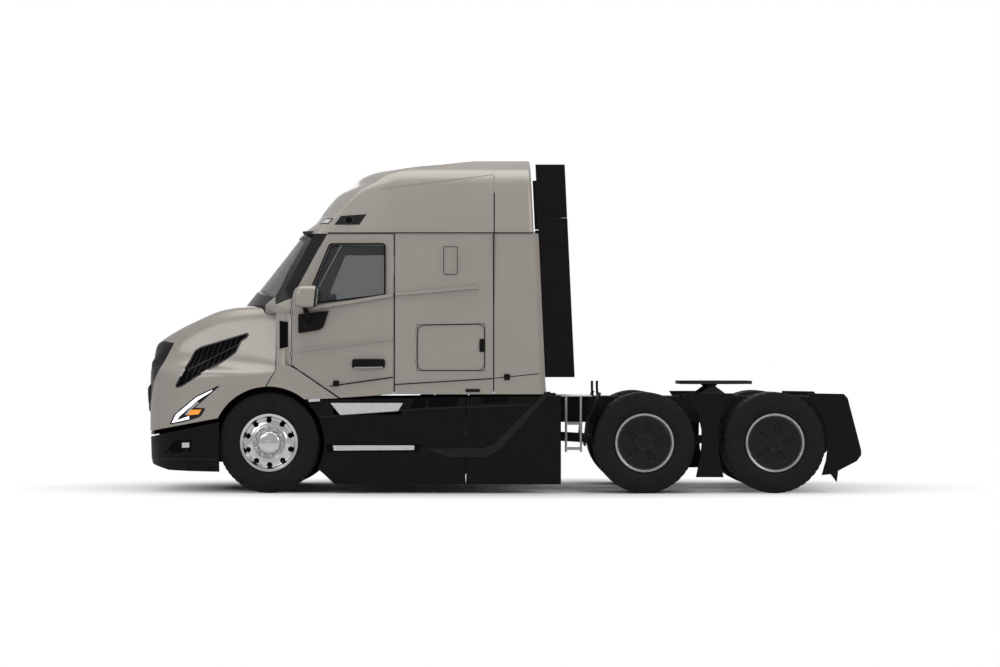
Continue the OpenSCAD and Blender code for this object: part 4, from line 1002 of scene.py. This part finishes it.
# Merged copies with softened edges stand for the flat panels
PANEL_FINISH = [
    ("sleeper_sides", "sleeper_panels", "paint", 0.004), ("rear_sides", "rear_panels", "paint", 0.004),
    ("back_wall", "rear_wall", "back", 0.004), ("left_door", "left_door_panel", "paint", 0.004),
    ("right_door", "right_door_panel", "paint", 0.004),
    ("left_luggage_door", "left_luggage_panel", "paint", 0.003),
    ("right_luggage_door", "right_luggage_panel", "paint", 0.003),
    ("cowl_sides", "cowl_panels", "paint", 0.006), ("side_extenders", "extender_panels", "plastic", 0.006),
    ("dashboard", "dashboard_panel", "interior", 0.012),
    ("middle_fairings", "axle_fairings", "plastic", 0.006),
    ("rear_mudguards", "tail_mudguards", "plastic", 0.006),
    ("deck_plate", "deck_and_ladder", "tread", 0.002), ("fifth_wheel_plate", "coupling_plate", "cast", 0.005),
    ("side_skirts", "skirt_panels", "plastic", 0.006), ("front_bumper", "bumper_skin", "plastic", 0.006),
    ("cab_front", "cowl_and_pillars", "paint", 0.0), ("windshield", "windshield_pane", "glass", 0.0),
]
for node, name, kind, edge in PANEL_FINISH:
    panel_copy(node, name, kind, edge)


def second_finish(name, kind, chosen):
    """Gives a second finish to the faces whose centres are chosen."""
    mesh = bpy.data.objects[name].data
    mesh.materials.append(MATERIALS[kind])
    centre = np.empty(len(mesh.polygons) * 3)
    mesh.polygons.foreach_get("center", centre)
    x, y, z = centre.reshape(-1, 3).T
    mesh.polygons.foreach_set("material_index", chosen(x, y, z).astype(int))


second_finish("cowl_and_pillars", "gloss",
              lambda x, y, z: (z > 1.975) | ((np.abs(y) < 1.05) & (z > 1.80) & (x > cowl_side_x - 0.02)))


# ---- Small pieces on the sides -------------------------------------------------------------------


def ring_plate(name, outline, width, y0, y1, body, finish, side=1, corner=0.02):
    """A band of a given width round an outline, grown outwards along its normals."""
    inner = rounded(outline, corner)
    along = np.roll(inner, -1, 0) - np.roll(inner, 1, 0)
    normal = np.stack([along[:, 1], -along[:, 0]], 1) / np.linalg.norm(along, axis=1)[:, None]
    area = np.sum(inner[:, 0] * np.roll(inner[:, 1], -1) - inner[:, 1] * np.roll(inner[:, 0], -1))
    outer = inner + np.sign(area) * normal * width
    loops = [(outer, y0), (outer, y1), (inner, y1), (inner, y0), (outer, y0)]
    points = np.stack([np.stack([xz[:, 0], 0 * xz[:, 0] + side * y, xz[:, 1]], 1) for xz, y in loops])
    piece = surface(name, points, body, finish, around=True, flip=(area > 0) != (side > 0), angle=40)
    return piece


def strip(x0, z0, x1, z1, height):
    """A straight band between two places, as an outline."""
    return [(x0, z0), (x1, z1), (x1, z1 - height), (x0, z0 - height)]


DOOR_WINDOW = [(door_x0 - 0.221, 2.090), (door_x0 - 0.257, 1.935), (1.190, 2.018), (1.190, 2.517),
               (door_x0 - 0.400, 2.517)]
OUTLINED_PANEL = [(0.584, 2.493), (0.452, 2.493), (0.452, 2.220), (0.584, 2.220)]
LUGGAGE_EDGE = [(0.850, 1.248), (0.177, 1.248), (0.177, 1.710), (0.850, 1.698)]
belt_edge = 0.012

# Columns: piece, body, finish, outline, inner and outer distance from the side, corner radius
SIDE_PIECES = [
    ("door_handle", "door", "plastic", [(1.514, 1.361), (1.180, 1.361), (1.180, 1.268), (1.514, 1.262)],
     -0.004, 0.022, 0.03),
    ("door_handle_lip", "door", "paint", strip(1.495, 1.279, 1.200, 1.283, 0.016), 0.010, 0.029, 0.006),
    ("door_lower_square", "door", "plastic",
     [(1.706, 1.143), (1.645, 1.143), (1.645, 1.083), (1.706, 1.083)], -0.004, 0.008, 0.01),
    ("door_belt_line", "door", "paint", strip(1.908, 1.893, 1.100, 2.024, 0.034), -0.010, 0.020, 0.004),
    ("door_feature_line", "door", "paint", strip(2.060, 1.448, 1.100, 1.571, 0.014), -0.010, 0.0035, 0.004),
    ("door_trim_line", "door", "seal", strip(1.740, 1.092, 1.100, 1.182, 0.012), -0.010, 0.0012, 0.0),
    ("door_front_seal", "door", "seal", strip(2.120, 1.960, 1.880, 1.950, 0.010), -0.010, 0.0012, 0.0),
    ("mirror_base", "door", "plastic",
     [(2.058, 1.816), (1.751, 1.846), (1.807, 1.680), (1.851, 1.654), (2.058, 1.6205)],
     -0.035, 0.012, 0.02),
    ("sleeper_belt_line", "chassis", "paint", strip(1.075, 2.028, 0.240, 2.103, 0.030),
     -0.010, 0.012, 0.004),
    ("sleeper_trim_line", "chassis", "seal", strip(1.080, 1.108, 0.090, 1.168, 0.010), -0.010, 0.0012, 0.0),
    ("luggage_handle", "luggage", "plastic",
     [(0.226, 1.563), (0.172, 1.563), (0.172, 1.431), (0.226, 1.431)], -0.004, 0.010, 0.015),
    ("rear_panel_square", "chassis", "plastic",
     [(-0.023, 1.209), (-0.084, 1.209), (-0.084, 1.148), (-0.023, 1.148)], -0.004, 0.008, 0.01),
    ("sleeper_tab", "chassis", "plastic", [(0.366, 1.057), (0.220, 1.057), (0.220, 1.027), (0.366, 1.027)],
     -0.020, 0.006, 0.006),
    ("cowl_marker", "chassis", "lens", [(1.959, 0.952), (1.838, 0.962), (1.838, 0.934), (1.945, 0.926)],
     -0.020, 0.004, 0.006),
]
RINGS = [
    ("window_seal", "door", DOOR_WINDOW, 0.016, -0.020, 0.004, 0.02),
    ("luggage_outline", "luggage", LUGGAGE_EDGE, 0.006, -0.003, 0.001, 0.07),
    ("panel_outline", "chassis", OUTLINED_PANEL, 0.006, -0.004, 0.0015, 0.012),
]


def side_details(side, word):
    """Handles, lines, small plates and outlines on the flat side."""
    bodies = {"door": f"{word}_door", "chassis": "chassis", "luggage": f"{word}_luggage_door"}
    for name, where, kind, outline, low, high, corner in SIDE_PIECES:
        edge = belt_edge if "belt" in name else min(0.004, 0.4 * (high - low))
        plate(f"{word}_{name}", outline, half_w + low, half_w + high, bodies[where], kind, side,
              edge=edge, corner=corner)
    for name, where, outline, width, low, high, corner in RINGS:
        ring_plate(f"{word}_{name}", outline, width, half_w + low, half_w + high, bodies[where], "seal",
                   side, corner)


for side, word in SIDES:
    side_details(side, word)

# ---- Mirrors -------------------------------------------------------------------------------------


mirror_y, mirror_z = 1.368, 1.988


def mirror(side, word):
    """A head as a stack of superellipses that swell and close from front to back, and its arm."""
    body = f"{word}_door"
    low, high = box(f"{word}_mirror")
    t = np.linspace(0, 1, 26)[:, None]
    swell = (1 - (2 * np.abs(t - 0.42) / 1.2) ** 4) ** 0.5
    turn = np.linspace(0, 2 * np.pi, 64, endpoint=False)[None, :]
    square = (np.abs(np.cos(turn)) ** 3.4 + np.abs(np.sin(turn)) ** 3.4) ** (-1 / 3.4)
    y = mirror_y + 0.5 * (0.210 * swell) * square * np.cos(turn)
    z = mirror_z + 0.5 * (0.225 * swell) * square * np.sin(turn)
    x = door_x0 - 0.274 + 0.238 * t + 0 * turn - 0.10 * (z - mirror_z)
    points = np.stack([x, side * y, z], -1)
    y_limit = max(abs(low[1]), abs(high[1])) - 0.002
    points[..., 1] = side * np.minimum(np.abs(points[..., 1]), y_limit)
    head = surface(f"{word}_mirror_head", points[2:], body, "paint", around=True, flip=side > 0, caps=True,
                   angle=50)
    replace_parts(head, f"{word}_mirror")
    surface(f"{word}_mirror_rim", points[:3] - [0.004, 0, 0], body, "gloss", around=True,
            flip=side > 0, caps=True, angle=50)
    face = points[0] * [1, 0.9, 1] + [-0.006, side * 0.1 * mirror_y, 0]
    face[:, 2] = mirror_z + 0.88 * (face[:, 2] - mirror_z)
    back = face + [0.003, 0, 0]
    surface(f"{word}_mirror_glass", np.stack([face, back]), body, "mirror", around=True, flip=side > 0,
            caps=True)
    path = curve_through(np.linspace(0, 3, 24), np.arange(4), np.array([
        (door_x0 - 0.190, side * 1.190, 1.745), (door_x0 - 0.185, side * 1.250, 1.775),
        (door_x0 - 0.165, side * 1.320, 1.835), (door_x0 - 0.150, side * 1.345, 1.895)]))
    tube(f"{word}_mirror_arm", path, np.linspace(0.034, 0.026, 24), body, "plastic", sides=16)


for side, word in SIDES:
    mirror(side, word)


# ---- Inserts of the hood, and the nose -----------------------------------------------------------


def quad_grid(corners, steps=(14, 5)):
    """(x, z) of a grid that runs bilinearly between four corners."""
    u = np.linspace(0, 1, steps[0])[:, None, None]
    v = np.linspace(0, 1, steps[1])[None, :, None]
    a, b, c, d = [np.array(corner, float) for corner in corners]
    return (1 - u) * ((1 - v) * a + v * d) + u * ((1 - v) * b + v * c)


def band_grid(outline, width, corner=0.012, rows=3):
    """(x, z) of a closed band round an outline, grown outwards along its normals."""
    inner = rounded(outline, corner, 6)
    share = np.linspace(0, 1, 5)[None, :, None]
    following = np.roll(inner, -1, 0)[:, None]
    inner = (inner[:, None] * (1 - share[:, :-1]) + following * share[:, :-1]).reshape(-1, 2)
    along = np.roll(inner, -1, 0) - np.roll(inner, 1, 0)
    normal = np.stack([along[:, 1], -along[:, 0]], 1) / np.linalg.norm(along, axis=1)[:, None]
    area = np.sum(inner[:, 0] * np.roll(inner[:, 1], -1) - inner[:, 1] * np.roll(inner[:, 0], -1))
    grow = np.sign(area) * width * np.linspace(0, 1, rows)[:, None, None]
    band = inner[None] + grow * normal[None]
    return np.concatenate([band, band[:, :1]], 1)


def drop_onto(name, grids, target, lift, body, finish, side=1, thick=0.004, start_y=1.7):
    """Sheets dropped along Y onto a piece, then lifted off it and given thickness."""
    parts = []
    for flat in grids:
        points = np.stack([flat[..., 0], 0 * flat[..., 0] + side * start_y, flat[..., 1]], -1)
        first, second = flat[1, 0] - flat[0, 0], flat[0, 1] - flat[0, 0]
        turned_over = (first[0] * second[1] - first[1] * second[0] > 0) == (side > 0)
        faces = grid_faces(*flat.shape[:2])
        parts.append((points, [face[::-1] for face in faces] if turned_over else faces))
    piece = join_meshes(name, parts, body, finish, angle=40)
    drop = piece.modifiers.new("drop", "SHRINKWRAP")
    drop.target = target
    drop.wrap_method = "PROJECT"
    drop.use_project_x = drop.use_project_z = False
    drop.use_project_y = True
    drop.use_negative_direction = side > 0
    drop.use_positive_direction = side < 0
    bake_modifiers(piece)
    points = points_of(piece)
    y = points[:, 1]
    missed = np.abs(y) > start_y - 0.01
    y[missed] = np.median(y[~missed]) if np.any(~missed) else side * half_w
    y += side * lift
    move_points(piece, points)
    wall = piece.modifiers.new("wall", "SOLIDIFY")
    wall.thickness = thick
    wall.offset = 0
    bake_modifiers(piece)
    smooth_edges(piece, 40)
    return piece


def between(path, share):
    """A place a share of the way along a path of straight stretches."""
    path = np.array(path, float)
    along = np.append(0, np.cumsum(np.linalg.norm(np.diff(path, axis=0), axis=1)))
    return np.stack([np.interp(share * along[-1], along, path[:, k]) for k in (0, 1)], -1)


def nose_quads(rows):
    """Grids of quads given as (behind the nose, height) corners."""
    return [quad_grid(beside_nose(corners)) for corners in rows]


# Outlines within the vent and the lamp, as (behind the nose, height)
VENT_LOW_EDGE = [(0.391, 1.095), (0.775, 1.328), (0.925, 1.437)]
VENT_HIGH_EDGE = [(0.522, 1.443), (0.575, 1.475), (0.990, 1.597)]
VENT_RIB = [(0.455, 1.255), (0.975, 1.530), (0.985, 1.518), (0.460, 1.240)]
LIGHT_BARS = [
    [(0.292, 0.712), (0.335, 0.795), (0.372, 0.780), (0.342, 0.738)],
    [(0.335, 0.795), (0.546, 0.970), (0.560, 0.942), (0.372, 0.780)],
    [(0.546, 0.970), (0.712, 1.050), (0.700, 1.030), (0.560, 0.942)],
    [(0.292, 0.712), (0.475, 0.752), (0.470, 0.782), (0.342, 0.738)],
]
TURN_LAMP = [(0.455, 0.790), (0.572, 0.802), (0.600, 0.850), (0.492, 0.846)]
LAMP_LENSES = [
    [(0.430, 0.800), (0.480, 0.860), (0.500, 0.850), (0.445, 0.790)],
    [(0.480, 0.868), (0.560, 0.930), (0.575, 0.915), (0.500, 0.855)],
]


def hood_pan(base, name, outline, kind, sink):
    """The part of the hood's skin within an outline on both sides, sunk a little."""
    pan = base.copy()
    pan.data = base.data.copy()
    pan.name = name
    bpy.context.scene.collection.objects.link(pan)
    pan.data.materials.clear()
    pan.data.materials.append(MATERIALS[kind])
    outline = rounded(beside_nose(outline), 0.012)
    cut_by(pan, [prism_parts(outline, 0.62, 1.3, side) for side, word in SIDES], "INTERSECT")
    points = points_of(pan)
    points[:, 1] -= np.sign(points[:, 1]) * sink
    move_points(pan, points)
    smooth_edges(pan, 40)
    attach(pan, "hood")
    return pan


def vent_slats(count=8, share=0.035):
    """Slats that run from the vent's lower edge to its upper edge."""
    slats = []
    for at in np.linspace(0.06, 0.90, count):
        slats.append([between(VENT_LOW_EDGE, at), between(VENT_HIGH_EDGE, at),
                      between(VENT_HIGH_EDGE, at + share), between(VENT_LOW_EDGE, at + share)])
    return nose_quads(slats)


def hood_inserts():
    """A pan of painted shade in the vent hole, a gloss black pan in the lamp hole, slats, light bars and
    lenses, and frames round the holes.
    """
    base = solid_hood("hood_base", "shadow")
    # Painted shade: the vent's sunk pan is dark to stand for the shade inside the opening behind the slats
    hood_pan(base, "vent_pan", VENT, "shadow", 0.016)
    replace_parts(hood_pan(base, "lamp_pan", LAMP, "gloss", 0.006), "headlamps")
    # Columns: name, grids, lift off the skin, finish, thickness
    inserts = [
        ("vent_slats", vent_slats(), -0.006, "plastic", 0.008),
        ("vent_rib", nose_quads([VENT_RIB]), -0.003, "band", 0.006),
        ("vent_frame", [band_grid(beside_nose(VENT), 0.014)], 0.0015, "gloss", 0.004),
        ("light_bar", nose_quads(LIGHT_BARS), -0.002, "light", 0.006),
        ("turn_lamp", nose_quads([TURN_LAMP]), -0.002, "amber", 0.006),
        ("lamp_lenses", nose_quads(LAMP_LENSES), -0.003, "mirror", 0.005),
        ("lamp_frame", [band_grid(beside_nose(LAMP), 0.006, 0.014)], 0.0008, "gloss", 0.003),
    ]
    for side, word in SIDES:
        for name, grids, lift, kind, thick in inserts:
            drop_onto(f"{word}_{name}", grids, base, lift, "hood", kind, side, thick)
    bpy.data.objects.remove(base)


def nose_behind(z):
    """How far the middle of the nose lies behind its foremost place."""
    return np.interp(z, HOOD_ROWS[:, 4], HOOD_ROWS[:, 0])


def grille():
    """Seven plain bars across the opening, before a dark mesh of fine wires and a dark backing sheet."""
    sheet = [(y * 1.02, z) for y, z in GRILLE_HOLE]
    # The dark backing sheet is partly the dark parts inside the grille, partly painted shade
    plate("grille_backing", sheet, nose_x - 0.105, nose_x - 0.100, "hood", "shadow", plane="yz", edge=0)
    heights = [0.70, 1.345, 1.42]
    bars = []
    for z in np.linspace(0.76, 1.36, 7):
        half = np.interp(z, heights, [0.38, 0.59, 0.555])
        y = np.linspace(-half, half, 20)
        x = nose_x - nose_behind(z) - 0.014 - 0.02 * (y / half) ** 2
        bars.append(tube_parts(np.stack([x, y, z + 0 * y], 1), 0.011, 8))
    join_meshes("grille_bars", bars, "hood", "band", angle=50)
    wires = []
    for z in np.linspace(0.715, 1.405, 24):
        half = np.interp(z, heights, [0.36, 0.575, 0.54])
        x = nose_x - nose_behind(z) - 0.045
        wires.append(tube_parts([(x, y, z) for y in (-half, half)], 0.003, 6))
    join_meshes("grille_wires", wires, "hood", "plastic", angle=50)


def bumper_fillers():
    """Dark pieces inside the bumper, below the hood's edge: painted shade in the space there."""
    outline = beside_nose([(0.127, 0.50), (0.76, 0.50), (0.76, 0.768), (0.30, 0.680), (0.127, 0.640)])
    # Painted shade: dark blocks fill the space inside the bumper
    for side, word in SIDES:
        plate(f"{word}_bumper_filler", outline, 0.50, 0.88, "chassis", "shadow", side)
    plate("bumper_filler_middle", [(-0.6, 0.45), (0.6, 0.45), (0.6, 0.64), (-0.6, 0.64)], nose_x - 0.22,
          nose_x - 0.19, "chassis", "shadow", plane="yz")


hood_inserts()
grille()
bumper_fillers()


# ---- Skirts, steps, bumper, roof and lamps -------------------------------------------------------


def piece_named(name):
    """A piece made above."""
    return bpy.data.objects[name]


def disc_grid(centre, inner, outer):
    """(x, z) of a ring from an inner to an outer radius."""
    radius = np.linspace(inner, outer, 6)[:, None]
    turn = np.linspace(0, 2 * np.pi, 40)[None, :]
    return np.stack([centre[0] + radius * np.cos(turn), centre[1] + radius * np.sin(turn)], -1)


# Columns: name, target, finish, lift, thickness, quads of (x, z)
DROPPED = [
    ("skirt_band", "skirt_panels", "band", 0.002, 0.008, [
        [(0.755, 0.452), (0.179, 0.461), (0.179, 0.365), (0.560, 0.372)],
        [(0.179, 0.461), (0.058, 0.511), (0.010, 0.450), (0.179, 0.365)],
        [(0.058, 0.511), (-0.440, 1.030), (-0.500, 1.030), (0.010, 0.450)]]),
    # Painted highlight: a lighter strip laid along the skirt's crease stands for the light caught by the bend
    ("skirt_crease", "skirt_panels", "band", 0.001, 0.006, [
        [(1.840, 0.780), (0.755, 0.868), (0.755, 0.852), (1.840, 0.764)],
        [(0.755, 0.868), (-0.300, 0.905), (-0.300, 0.889), (0.755, 0.852)]]),
    # Painted shade: dark sheets laid over the skirt's recessed handles and hatches stand for the shade in the
    # recesses
    ("skirt_recesses", "skirt_panels", "shadow", 0.001, 0.004, [
        [(0.925, 0.855), (0.890, 0.960), (0.775, 0.960), (0.775, 0.858)],
        [(0.740, 0.975), (0.432, 0.980), (0.465, 0.885), (0.740, 0.872)],
        [(0.205, 0.985), (-0.090, 0.985), (-0.055, 0.925), (0.205, 0.915)]]),
    # Painted shade: a dark sheet laid where the fog lamp sits in a recess of the bumper
    ("bumper_recess", "bumper_skin", "shadow", 0.001, 0.004, [
        [(3.425, 0.400), (3.330, 0.530), (3.140, 0.548), (3.140, 0.425)]]),
    ("fog_lamp", "bumper_skin", "lens", 0.004, 0.006, [
        [(3.235, 0.462), (3.235, 0.512), (3.160, 0.517), (3.160, 0.467)]]),
    # Painted highlight: a lighter strip laid along the bumper's crease stands for the light caught by the bend
    ("bumper_crease", "bumper_skin", "band", 0.001, 0.006, [
        [(3.500, 0.352), (2.880, 0.352), (2.880, 0.338), (3.500, 0.338)]]),
    ("roof_recess", "roof_skin", "gloss", 0.001, 0.004, [
        [(1.696, 2.722), (1.630, 2.812), (1.372, 2.828), (1.443, 2.722)]]),
    ("roof_marker_frame", "roof_skin", "gloss", 0.001, 0.006, [
        [(1.855, 2.732), (1.795, 2.790), (1.705, 2.786), (1.760, 2.732)]]),
    ("roof_marker", "roof_skin", "lens", 0.005, 0.006, [
        [(1.838, 2.741), (1.795, 2.779), (1.728, 2.777), (1.765, 2.741)]]),
    # Painted shade: a dark sheet laid in the cowl's intake stands for the shade inside the opening
    ("cowl_intake", "cowl_panels", "shadow", 0.001, 0.004, [
        [(2.250, 1.750), (2.165, 1.735), (2.165, 1.470), (2.250, 1.450)]]),
    ("cowl_intake_lip", "cowl_panels", "paint", 0.003, 0.006, [
        [(2.252, 1.462), (2.163, 1.482), (2.163, 1.466), (2.252, 1.446)]]),
    ("roof_crease", "roof_skin", "paint", 0.001, 0.007, [
        [(1.230, 3.096), (0.085, 3.250), (0.085, 3.236), (1.230, 3.086)]]),
    ("roof_joint_line", "roof_skin", "seal", 0.0008, 0.003, [
        [(1.930, 2.643), (-0.340, 2.643), (-0.340, 2.634), (1.930, 2.634)]]),
    ("roof_joint_rise", "roof_skin", "seal", 0.0008, 0.003, [
        [(0.081, 3.400), (0.070, 3.400), (0.070, 2.640), (0.081, 2.640)]]),
    ("sleeper_joint_line", "sleeper_panels", "seal", 0.0006, 0.003, [
        [(0.087, 2.628), (0.078, 2.628), (0.078, 1.030), (0.087, 1.030)]]),
    ("door_joint_line", "sleeper_panels", "seal", 0.0006, 0.003, [
        [(1.087, 2.628), (1.079, 2.628), (1.079, 1.030), (1.087, 1.030)]]),
    ("rear_panel_line", "rear_panels", "seal", 0.0006, 0.003, [
        [(0.070, 1.170), (-0.380, 1.216), (-0.380, 1.208), (0.070, 1.162)]]),
]
HORN = (1.549, 2.768)
LOW_STEP = [(1.709, 0.486), (0.885, 0.486), (0.885, 0.440), (1.700, 0.434)]
HIGH_STEP = [(1.736, 0.916), (0.998, 0.916), (1.049, 0.835), (1.635, 0.794)]
# Outlines of the dark pans of painted shade round the two steps
LOW_PAN = [(1.800, 0.496), (0.790, 0.496), (0.850, 0.420), (1.760, 0.420)]
HIGH_PAN = [(1.752, 0.926), (0.980, 0.926), (1.040, 0.822), (1.640, 0.780)]
skirt_side = box("side_skirts")[1][1]


def side_sheets(side, word):
    """Bands, dark sheets of painted shade in recesses and openings, lighter strips of painted highlight along
    creases, joint lines and small lamps laid on the curved sides, and the roof's horn with painted shade in its
    mouth.
    """
    for name, target, kind, lift, thick, quads in DROPPED:
        drop_onto(f"{word}_{name}", [quad_grid(quad) for quad in quads], piece_named(target), lift,
                  "chassis", kind, side, thick)
    roof = piece_named("roof_skin")
    # Painted shade: a dark disc stands for the shade inside the horn's mouth
    drop_onto(f"{word}_horn_mouth", [disc_grid(HORN, 0.004, 0.034)], roof, 0.002, "chassis", "shadow", side)
    drop_onto(f"{word}_horn_ring", [disc_grid(HORN, 0.034, 0.046)], roof, 0.006, "chassis", "cast", side,
              0.008)


def cab_steps():
    """Two bright steps a side with raised teeth along their tops, in dark pans of painted shade."""
    parts = []
    for side, word in SIDES:
        parts.append(prism_parts(rounded(LOW_STEP, 0.01), skirt_side - 0.07, skirt_side + 0.012, side))
        parts.append(prism_parts(rounded(HIGH_STEP, 0.012), skirt_side - 0.07, skirt_side + 0.006, side))
        for z, x0, x1 in ((0.487, 0.90, 1.69), (0.917, 1.02, 1.71)):
            for x in np.arange(x0, x1 - 0.03, 0.045):
                tooth = [(x, z - 0.004), (x + 0.028, z - 0.004), (x + 0.022, z + 0.004),
                         (x + 0.006, z + 0.004)]
                parts.append(prism_parts(tooth, skirt_side - 0.06, skirt_side + 0.002, side))
    steps = join_meshes("cab_step_treads", parts, "chassis", "step", angle=35)
    soften(steps, 0.0015)
    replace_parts(steps, "cab_steps")
    for side, word in SIDES:
        # Painted shade: dark pans round the steps stand for the shade in the hollows they sit in
        plate(f"{word}_step_pan", LOW_PAN, skirt_side - 0.05, skirt_side + 0.003, "chassis", "shadow", side,
              corner=0.02)
        plate(f"{word}_step_pocket", HIGH_PAN, skirt_side - 0.05, skirt_side + 0.002, "chassis", "shadow",
              side, edge=0.001, corner=0.02)


for side, word in SIDES:
    side_sheets(side, word)
cab_steps()

# ---- Tail lamps ----------------------------------------------------------------------------------


def dome_parts(x, y, z, radius, height):
    """A lens: x falls off with the fourth power of the distance from its middle."""
    share = np.linspace(0, 1, 14)[:, None]
    turn = np.linspace(0, 2 * np.pi, 40, endpoint=False)[None, :]
    out = height * (1 - share**4)
    points = np.stack([x - out + 0 * turn, y + radius * share * np.cos(turn),
                       z + radius * share * np.sin(turn)], -1)
    return points, grid_faces(14, 40, around=True)


def tail_lamps():
    """A panel across the frame's end with two round lenses a side."""
    low, high = box("tail_lamps")
    face = low[0] + 0.016
    outline = [(-0.4, low[2]), (0.4, low[2]), (0.4, high[2]), (-0.4, high[2])]
    plate("tail_lamp_panel", outline, face, high[0], "chassis", "frame", plane="yz", corner=0.02)
    z = box("frame_rails")[1][2] - 0.133
    parts = [dome_parts(face, y, z, 0.045, 0.014) for y in (-0.31, -0.20, 0.20, 0.31)]
    lenses = join_meshes("tail_lamp_lenses", parts, "chassis", "red", angle=50)
    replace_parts(lenses, "tail_lamps")


tail_lamps()

# ---- Seats, bunk and steering wheel --------------------------------------------------------------


def pad(name, low, high, body, finish, lean=0.0, power=3.2, seams=3):
    """A crowned pad: rings of superellipses, scaled by (1 - |t|^power)^(1/power) from t = -1 to 1.

    Shallow channels, narrow bell curves across it, stand for the sewn seams.
    """
    low, high = np.array(low, float), np.array(high, float)
    centre, half = (low + high) / 2, (high - low) / 2
    t = np.linspace(-0.998, 0.998, 28)[:, None]
    turn = np.linspace(0, 2 * np.pi, 96, endpoint=False)[None, :]
    scale = (1 - np.abs(t) ** power) ** (1 / power)
    square = (np.abs(np.cos(turn)) ** power + np.abs(np.sin(turn)) ** power) ** (-1 / power)
    pull = 1 - 0.03 * np.cos(2 * turn) ** 2 * (1 - t**2)
    x = half[0] * scale * square * np.cos(turn) * pull
    y = half[1] * scale * square * np.sin(turn) * pull
    z = half[2] * t + 0 * turn
    for seam in np.linspace(-0.5, 0.5, seams):
        z -= 0.008 * np.sign(t) * (np.abs(t) > 0.5) * np.exp(-((y - seam * half[1]) / 0.008) ** 2)
    points = np.stack([x * np.cos(lean) + z * np.sin(lean) + centre[0], y + centre[1],
                       z * np.cos(lean) - x * np.sin(lean) + centre[2]], -1)
    piece = surface(name, points, body, finish, around=True, flip=False, caps=True, angle=60)
    return piece


seat_low, seat_high = box("seats")
seat_x = seat_low[0] + 0.12
seat_y = seat_high[1] - 0.25


def seats():
    """Two seats of three pads each, on pedestals."""
    pedestal = [(seat_x + 0.05, seat_low[2]), (seat_x + 0.48, seat_low[2]), (seat_x + 0.50, 1.425),
                (seat_x + 0.06, 1.425)]
    # Columns: name, low and high x, half width, low and high z, lean, seams
    pads = [
        ("seat_cushion", 0.01, 0.54, 0.245, 1.425, 1.565, 0.0, 3),
        ("seat_back", -0.07, 0.07, 0.235, 1.50, 2.06, -0.12, 3),
        ("seat_head", -0.112, -0.012, 0.13, 2.075, 2.235, -0.08, 0),
    ]
    for side, word in SIDES:
        y = side * seat_y
        for name, x0, x1, half, z0, z1, lean, seams in pads:
            piece = pad(f"{word}_{name}", (seat_x + x0, y - half, z0), (seat_x + x1, y + half, z1),
                        "chassis", "seat", lean=lean, seams=seams)
            if (side, name) == (-1, "seat_cushion"):
                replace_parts(piece, "seats")
        plate(f"{word}_seat_pedestal", pedestal, seat_y - 0.18, seat_y + 0.18, "chassis", "interior", side,
              edge=0.01)


def bunk():
    """A mattress on its board."""
    low, high = box("bunk")
    board_top = 1.558
    clear = 0.001
    outline = [(low[0] + clear, low[2] + clear), (high[0], low[2] + clear), (high[0], board_top),
               (low[0] + clear, board_top)]
    plate("bunk_board", outline, low[1] + clear, high[1] - clear, "chassis", "interior", edge=0.012)
    mattress = pad("bunk_mattress", (low[0] + 0.005, low[1] + 0.015, board_top + clear),
                   (high[0] - 0.02, high[1] - 0.015, high[2]), "chassis", "bedding", power=6, seams=5)
    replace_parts(mattress, "bunk")


def steering_wheel():
    """A rim on a tilted circle, three spokes, a boss and the column."""
    hub = np.array([box("dashboard")[0][0] - 0.09, seat_y, 1.81])
    tilt = np.radians(62)
    axis = np.array([-np.sin(tilt), 0, np.cos(tilt)])
    upward = np.array([np.cos(tilt), 0, np.sin(tilt)])
    across = np.array([0.0, 1.0, 0.0])
    turn = np.linspace(0, 2 * np.pi, 73)[:, None]
    rim = hub + 0.208 * (np.cos(turn) * upward + np.sin(turn) * across)
    parts = [tube_parts(rim, 0.0165, 12)]
    for angle in np.radians([90, 210, 330]):
        out = np.cos(angle) * upward + np.sin(angle) * across
        spoke = [hub + 0.05 * out, hub + 0.12 * out, hub + 0.20 * out]
        parts.append(tube_parts(spoke, [0.018, 0.013, 0.011], 10))
    boss = [hub - 0.02 * axis, hub - 0.012 * axis, hub + 0.008 * axis, hub + 0.018 * axis]
    parts.append(tube_parts(boss, [0.060, 0.074, 0.070, 0.045], 32))
    column = [hub - 0.168 * axis, hub - 0.09 * axis, hub - 0.018 * axis]
    parts.append(tube_parts(column, [0.029, 0.027, 0.029], 20))
    wheel = join_meshes("steering_rim_and_column", parts, "chassis", "plastic", angle=45)
    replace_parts(wheel, "steering_wheel")


seats()
bunk()
steering_wheel()

# ---- Headliner and air lines ---------------------------------------------------------------------


def headliner():
    """A dark sheet under the roof."""
    outline = [(door_x0 - 0.10, -1.08), (door_x0 - 0.10, 1.08), (cab_back + 0.16, 1.08),
               (cab_back + 0.16, -1.08)]
    plate("headliner", outline, roof_z + 0.01, roof_z + 0.03, "chassis", "interior", plane="xy",
          corner=0.1)


def air_lines():
    """Two short lines that rise from the frame behind the cab."""
    for index, x in enumerate((-0.947, -0.999)):
        path = curve_through(np.linspace(0, 4, 30), np.arange(5), np.array([
            (x, 0.30, 1.136), (x, 0.30, 1.06), (x - 0.005, 0.30, 0.99), (x - 0.03, 0.31, 0.93),
            (x - 0.09, 0.33, 0.90)]))
        tube(f"air_line_{index + 1}", path, 0.013, "chassis", "plastic", sides=12)


headliner()
air_lines()
